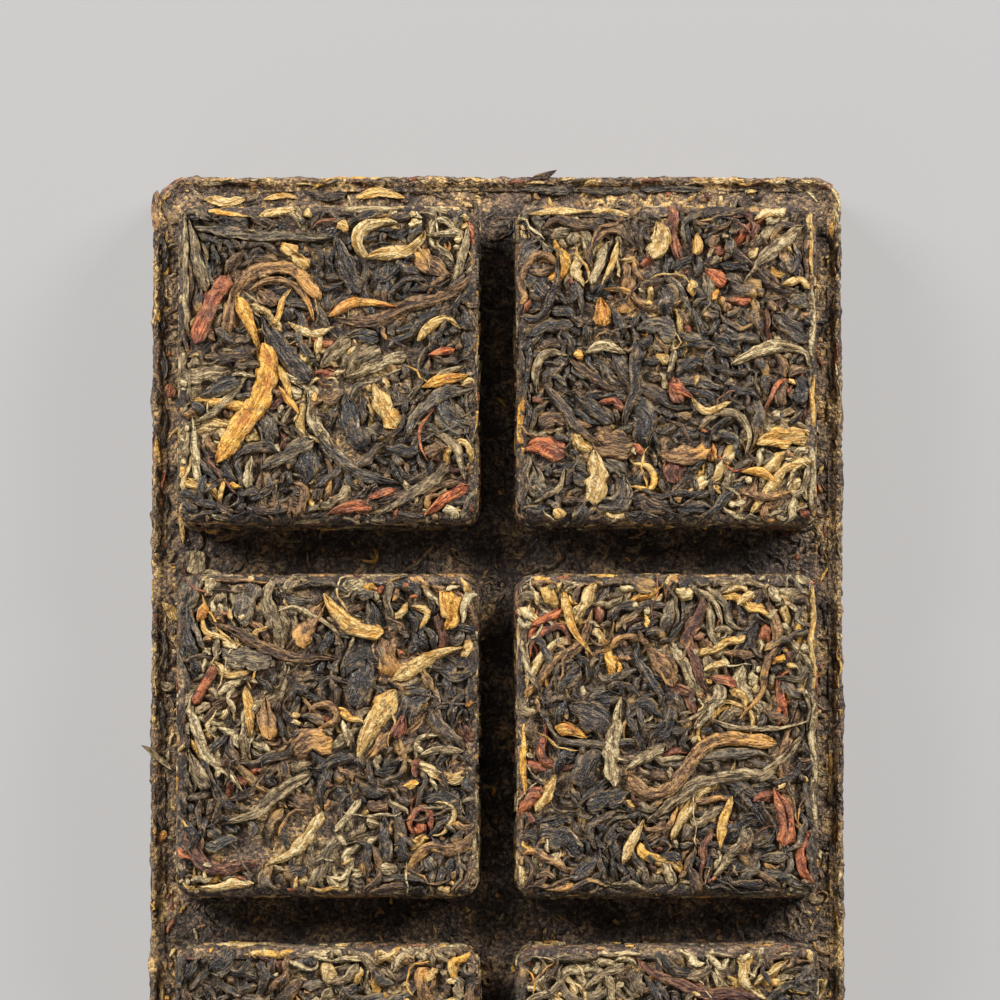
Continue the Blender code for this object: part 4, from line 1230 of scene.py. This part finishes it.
def leaf_material(
    name, tints, crease, highlight_and_hair_colour, highlight_and_hair_share, tip=None, roughness=(0.48, 0.72), mottled=1.2
):
    """A pressed leaf: folds and fibres along it, painted shade in its creases, painted highlights on its
    crests, and dust.
    """
    n = Nodes(name)
    uv = n.add("ShaderNodeUVMap", 0, {"uv_map": "leaf"})
    tint, edge, along = n.parts(n.mark())
    hollow = n.mark("Alpha")
    place = n.place()

    def stretched(scale_u, scale_v, detail, rough=0.6):
        settings = {"operation": "MULTIPLY"}
        at = n.add("ShaderNodeVectorMath", 0, settings, n0=uv, n1=(scale_u, scale_v, 1.0))
        return n.noise(at, 1.0, detail, rough)

    def creased(noise, width):
        """0 along the lines where noise passes its middle, 1 away from them."""
        return n.step(n.math("ABSOLUTE", n.minus(noise, 0.5)), 0.0, width)

    folds = creased(stretched(0.30, 1.5, 2.0), 0.10)
    fibres = stretched(1.1, 2.1, 2.0, 0.55)
    puckers = creased(stretched(1.5, 2.6, 2.0), 0.10)
    patches = stretched(0.6, 1.0, 3.0)
    stains = n.noise(place, 480.0, 2.0, 0.6)
    crumple = n.noise(place, 1150.0, 2.0, 0.6)
    dust = n.noise(place, 1600.0, 2.5, 0.65)

    mottle = n.minus(n.plus(patches, stains), 1.0)
    base = n.ramp(n.plus(tint, n.times(mottle, mottled), clamp=True), tints)
    relief = n.plus(n.times(folds, 0.22), n.times(fibres, 0.50))
    relief = n.plus(relief, n.times(puckers, 0.26))
    relief = n.plus(relief, n.times(crumple, 0.55))
    relief = n.minus(relief, n.times(hollow, 0.30))
    # painted shade: where the relief is low, in creases and hollows, the colour is multiplied by the
    # crease colour
    colour = n.mix(n.step(relief, 0.50, 0.88), n.mix(1.0, base, crease, "MULTIPLY"), base)
    # painted highlight: the crests, where the relief is highest, take the pale colour, which also draws
    # the pale hairs below
    crest_highlight = n.step(relief, 0.90, 1.06)
    colour = n.mix(n.times(crest_highlight, highlight_and_hair_share), colour, highlight_and_hair_colour)
    if tip:
        reach = n.plus(along, n.times(n.minus(fibres, 0.5), 1.2))
        tipped = n.times(n.step(reach, 0.55, 0.9), n.step(tint, 0.6, 0.85))
        colour = n.mix(tipped, colour, tip)
    seam = n.times(n.step(edge, 0.5, 0.8), n.step(fibres, 0.45, 0.58))
    hairs = n.minus(1.0, creased(stretched(0.22, 1.9, 1.0), 0.028))
    lines = n.math("MAXIMUM", seam, n.times(hairs, 0.7))
    colour = n.mix(n.times(lines, highlight_and_hair_share), colour, highlight_and_hair_colour)
    # painted shade: a leaf's edge folded under takes the dark colour
    shaded_folded_under = n.step(edge, 0.9, 1.3)
    colour = n.mix(n.times(shaded_folded_under, 0.8), colour, SHADE_AND_SPECK_BLACK)
    colour = n.mix(n.times(n.step(dust, 0.55, 0.68), 0.34), colour, DUST)
    colour = n.mix(n.times(n.step(dust, 0.46, 0.34), 0.55), colour, SHADE_AND_SPECK_BLACK)
    smooth, rough = roughness
    rubbed = {"From_Min": 0.5, "From_Max": 1.05, "To_Min": rough, "To_Max": smooth}
    shine = n.add("ShaderNodeMapRange", 0, Value=relief, **rubbed)
    height = n.plus(n.times(folds, 0.45), n.times(fibres, 0.7))
    height = n.plus(height, n.times(puckers, 0.32))
    height = n.plus(height, n.times(n.plus(dust, crumple), 0.6))
    return n.finish(colour, shine, height, bumpy=0.6, deep=0.33)


def make_materials():
    """Each kind's material. Tints run from its dark colours to its pale ones."""
    return {
        # after the tints come the crease colour, painted shade, then the colour of painted highlights on
        # crests and of pale hairs, and its share
        "black": leaf_material(
            "black leaf",
            [(0.1, srgb(34, 29, 26)), (0.5, srgb(56, 47, 39)), (0.9, srgb(92, 75, 56))],
            (0.18, 0.13, 0.10, 1.0),
            srgb(158, 128, 82),
            0.4,
            tip=srgb(158, 120, 66),
            roughness=(0.32, 0.6),
        ),
        "slate": leaf_material(
            "slate leaf",
            [(0.1, srgb(50, 45, 41)), (0.5, srgb(80, 70, 60)), (0.9, srgb(116, 102, 79))],
            (0.20, 0.15, 0.11, 1.0),
            srgb(180, 154, 106),
            0.4,
            roughness=(0.36, 0.62),
        ),
        "brown": leaf_material(
            "brown leaf",
            [(0.1, srgb(60, 40, 24)), (0.5, srgb(104, 74, 44)), (0.9, srgb(152, 112, 68))],
            (0.20, 0.15, 0.11, 1.0),
            srgb(192, 150, 96),
            0.4,
            tip=srgb(190, 138, 70),
        ),
        "tan": leaf_material(
            "olive leaf",
            [(0.1, srgb(93, 76, 51)), (0.5, srgb(144, 121, 84)), (0.95, srgb(198, 177, 132))],
            (0.25, 0.20, 0.13, 1.0),
            srgb(213, 190, 142),
            0.4,
        ),
        "gold": leaf_material(
            "golden bud",
            [
                (0.1, srgb(184, 114, 42)),
                (0.38, srgb(220, 166, 60)),
                (0.6, srgb(200, 167, 104)),
                (0.95, srgb(205, 183, 137)),
            ],
            (0.56, 0.41, 0.17, 1.0),
            srgb(226, 194, 124),
            0.35,
            mottled=0.5,
        ),
        "red": leaf_material(
            "red stem",
            [(0.1, srgb(88, 50, 34)), (0.5, srgb(138, 79, 50)), (0.95, srgb(194, 104, 48))],
            (0.30, 0.18, 0.12, 1.0),
            srgb(196, 142, 92),
            0.3,
        ),
    }


CRUMB_COLOURS = [
    (0.10, srgb(50, 38, 30)),
    (0.35, srgb(92, 76, 62)),
    (0.52, srgb(130, 106, 83)),
    (0.70, srgb(164, 132, 92)),
    (0.95, srgb(228, 186, 118)),
]
BITS = 3400.0  # of crumb to a metre


def crumb_material():
    """Broken bits of every kind of leaf, too small to tell apart."""
    n = Nodes("tea crumb")
    place = n.place()
    golden, _, _ = n.parts(n.mark())
    warp = n.noise(place, 1800.0, 3.0, output="Color")
    at = n.add("ShaderNodeMix", 1, {"data_type": "VECTOR"}, n0=0.0006, n4=place, n5=warp)
    bits = n.add("ShaderNodeTexVoronoi", "Color", Vector=at, Scale=BITS)
    apart = n.add("ShaderNodeTexVoronoi", "Distance", Vector=at, Scale=BITS)
    bit, _, _ = n.parts(bits)
    fuzz = n.noise(place, 300.0, 4.0)
    grain = n.noise(place, 3000.0, 3.0, 0.7)
    lean = n.plus(n.times(n.minus(fuzz, 0.5), 1.6), n.minus(golden, 0.5))
    pick = n.plus(n.times(bit, 0.4), n.times(grain, 0.6))
    kinds = n.ramp(n.plus(pick, lean, clamp=True), CRUMB_COLOURS)
    height = n.minus(grain, n.times(apart, 0.5))
    # painted shade: the crumb darkens where its bump is low, in the hollows between its bits
    colour = n.mix(n.step(height, 0.06, 0.34), n.mix(0.25, SHADE_AND_SPECK_BLACK, kinds), kinds)
    return n.finish(colour, 0.75, height, bumpy=0.9, deep=0.35)


# --- Stage ------------------------------------------------------------------------------


# where each light stands, the length of its side and its power
LIGHTS = {
    "key left": ((-0.38, 0.32, 0.32), 0.26, 4.85),
    "key right": ((0.38, 0.32, 0.32), 0.26, 4.85),
    "fill": ((-0.30, -0.36, 0.33), 0.40, 0.9),
}
LIT_PLACE = np.array((0.0, 0.02, 0.0))
FLOOR_HALF = 2.0
FLOOR_COLOUR, FLOOR_ROUGHNESS = (0.078, 0.0765, 0.0755, 1.0), 0.9
FLOOR_GLOW, FLOOR_GLOW_STRENGTH = srgb(201, 198, 196), 0.75
SKY_COLOUR, SKY_STRENGTH = (0.9, 0.95, 1.0, 1.0), 0.13


def area_light(name, place, side, power):
    """A square lamp that faces the lit place."""
    data = bpy.data.lights.new(name, "AREA")
    data.shape = "RECTANGLE"
    data.size = side
    data.size_y = side
    data.energy = power
    obj = bpy.data.objects.new(name, data)
    obj.location = place
    way = LIT_PLACE - np.array(place)
    tilt = math.atan2(math.hypot(way[0], way[1]), -way[2])
    obj.rotation_euler = (tilt, 0.0, math.atan2(way[1], way[0]) - math.pi / 2)
    bpy.context.scene.collection.objects.link(obj)


def stage():
    """The floor that the brick lies on, the sky and the lights."""
    half = FLOOR_HALF
    corners = [(-half, -half, 0), (half, -half, 0), (half, half, 0), (-half, half, 0)]
    mesh = bpy.data.meshes.new("floor")
    mesh.from_pydata(corners, [], [(0, 1, 2, 3)])
    floor = bpy.data.objects.new("floor", mesh)
    bpy.context.scene.collection.objects.link(floor)
    n = Nodes("pale floor")
    n.feed(n.shader, "Base Color", FLOOR_COLOUR)
    n.feed(n.shader, "Roughness", FLOOR_ROUGHNESS)
    n.feed(n.shader, "Emission Color", FLOOR_GLOW)
    n.feed(n.shader, "Emission Strength", FLOOR_GLOW_STRENGTH)
    mesh.materials.append(n.material)
    world = bpy.data.worlds.new("studio")
    world.use_nodes = True
    background = world.node_tree.nodes["Background"]
    background.inputs["Color"].default_value = SKY_COLOUR
    background.inputs["Strength"].default_value = SKY_STRENGTH
    bpy.context.scene.world = world
    for name, (place, side, power) in LIGHTS.items():
        area_light(name, place, side, power)


def camera():
    """The photo's view: from far above, a little tilted."""
    data = bpy.data.cameras.new("camera")
    data.sensor_width = SENSOR
    data.lens = SENSOR * DISTANCE / SPAN
    obj = bpy.data.objects.new("camera", data)
    eye, _ = picture_ray(PICTURE_SIZE / 2, PICTURE_SIZE / 2)
    obj.location = eye * MM
    obj.rotation_euler = (TILT, 0.0, 0.0)
    bpy.context.scene.collection.objects.link(obj)
    bpy.context.scene.camera = obj
    bpy.context.scene.view_settings.view_transform = "Standard"


# --- Making it all ----------------------------------------------------------------------

camera()
stage()
materials = make_materials()
pieces = [core_object(crumb_material())]
for zone, heaps in make_leaves().items():
    for kind, heap in heaps.items():
        pieces.append(mesh_object(f"{kind}_leaves_{zone}", heap, materials[kind]))
for piece in pieces:
    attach(piece, "root")
    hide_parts("tea_brick")
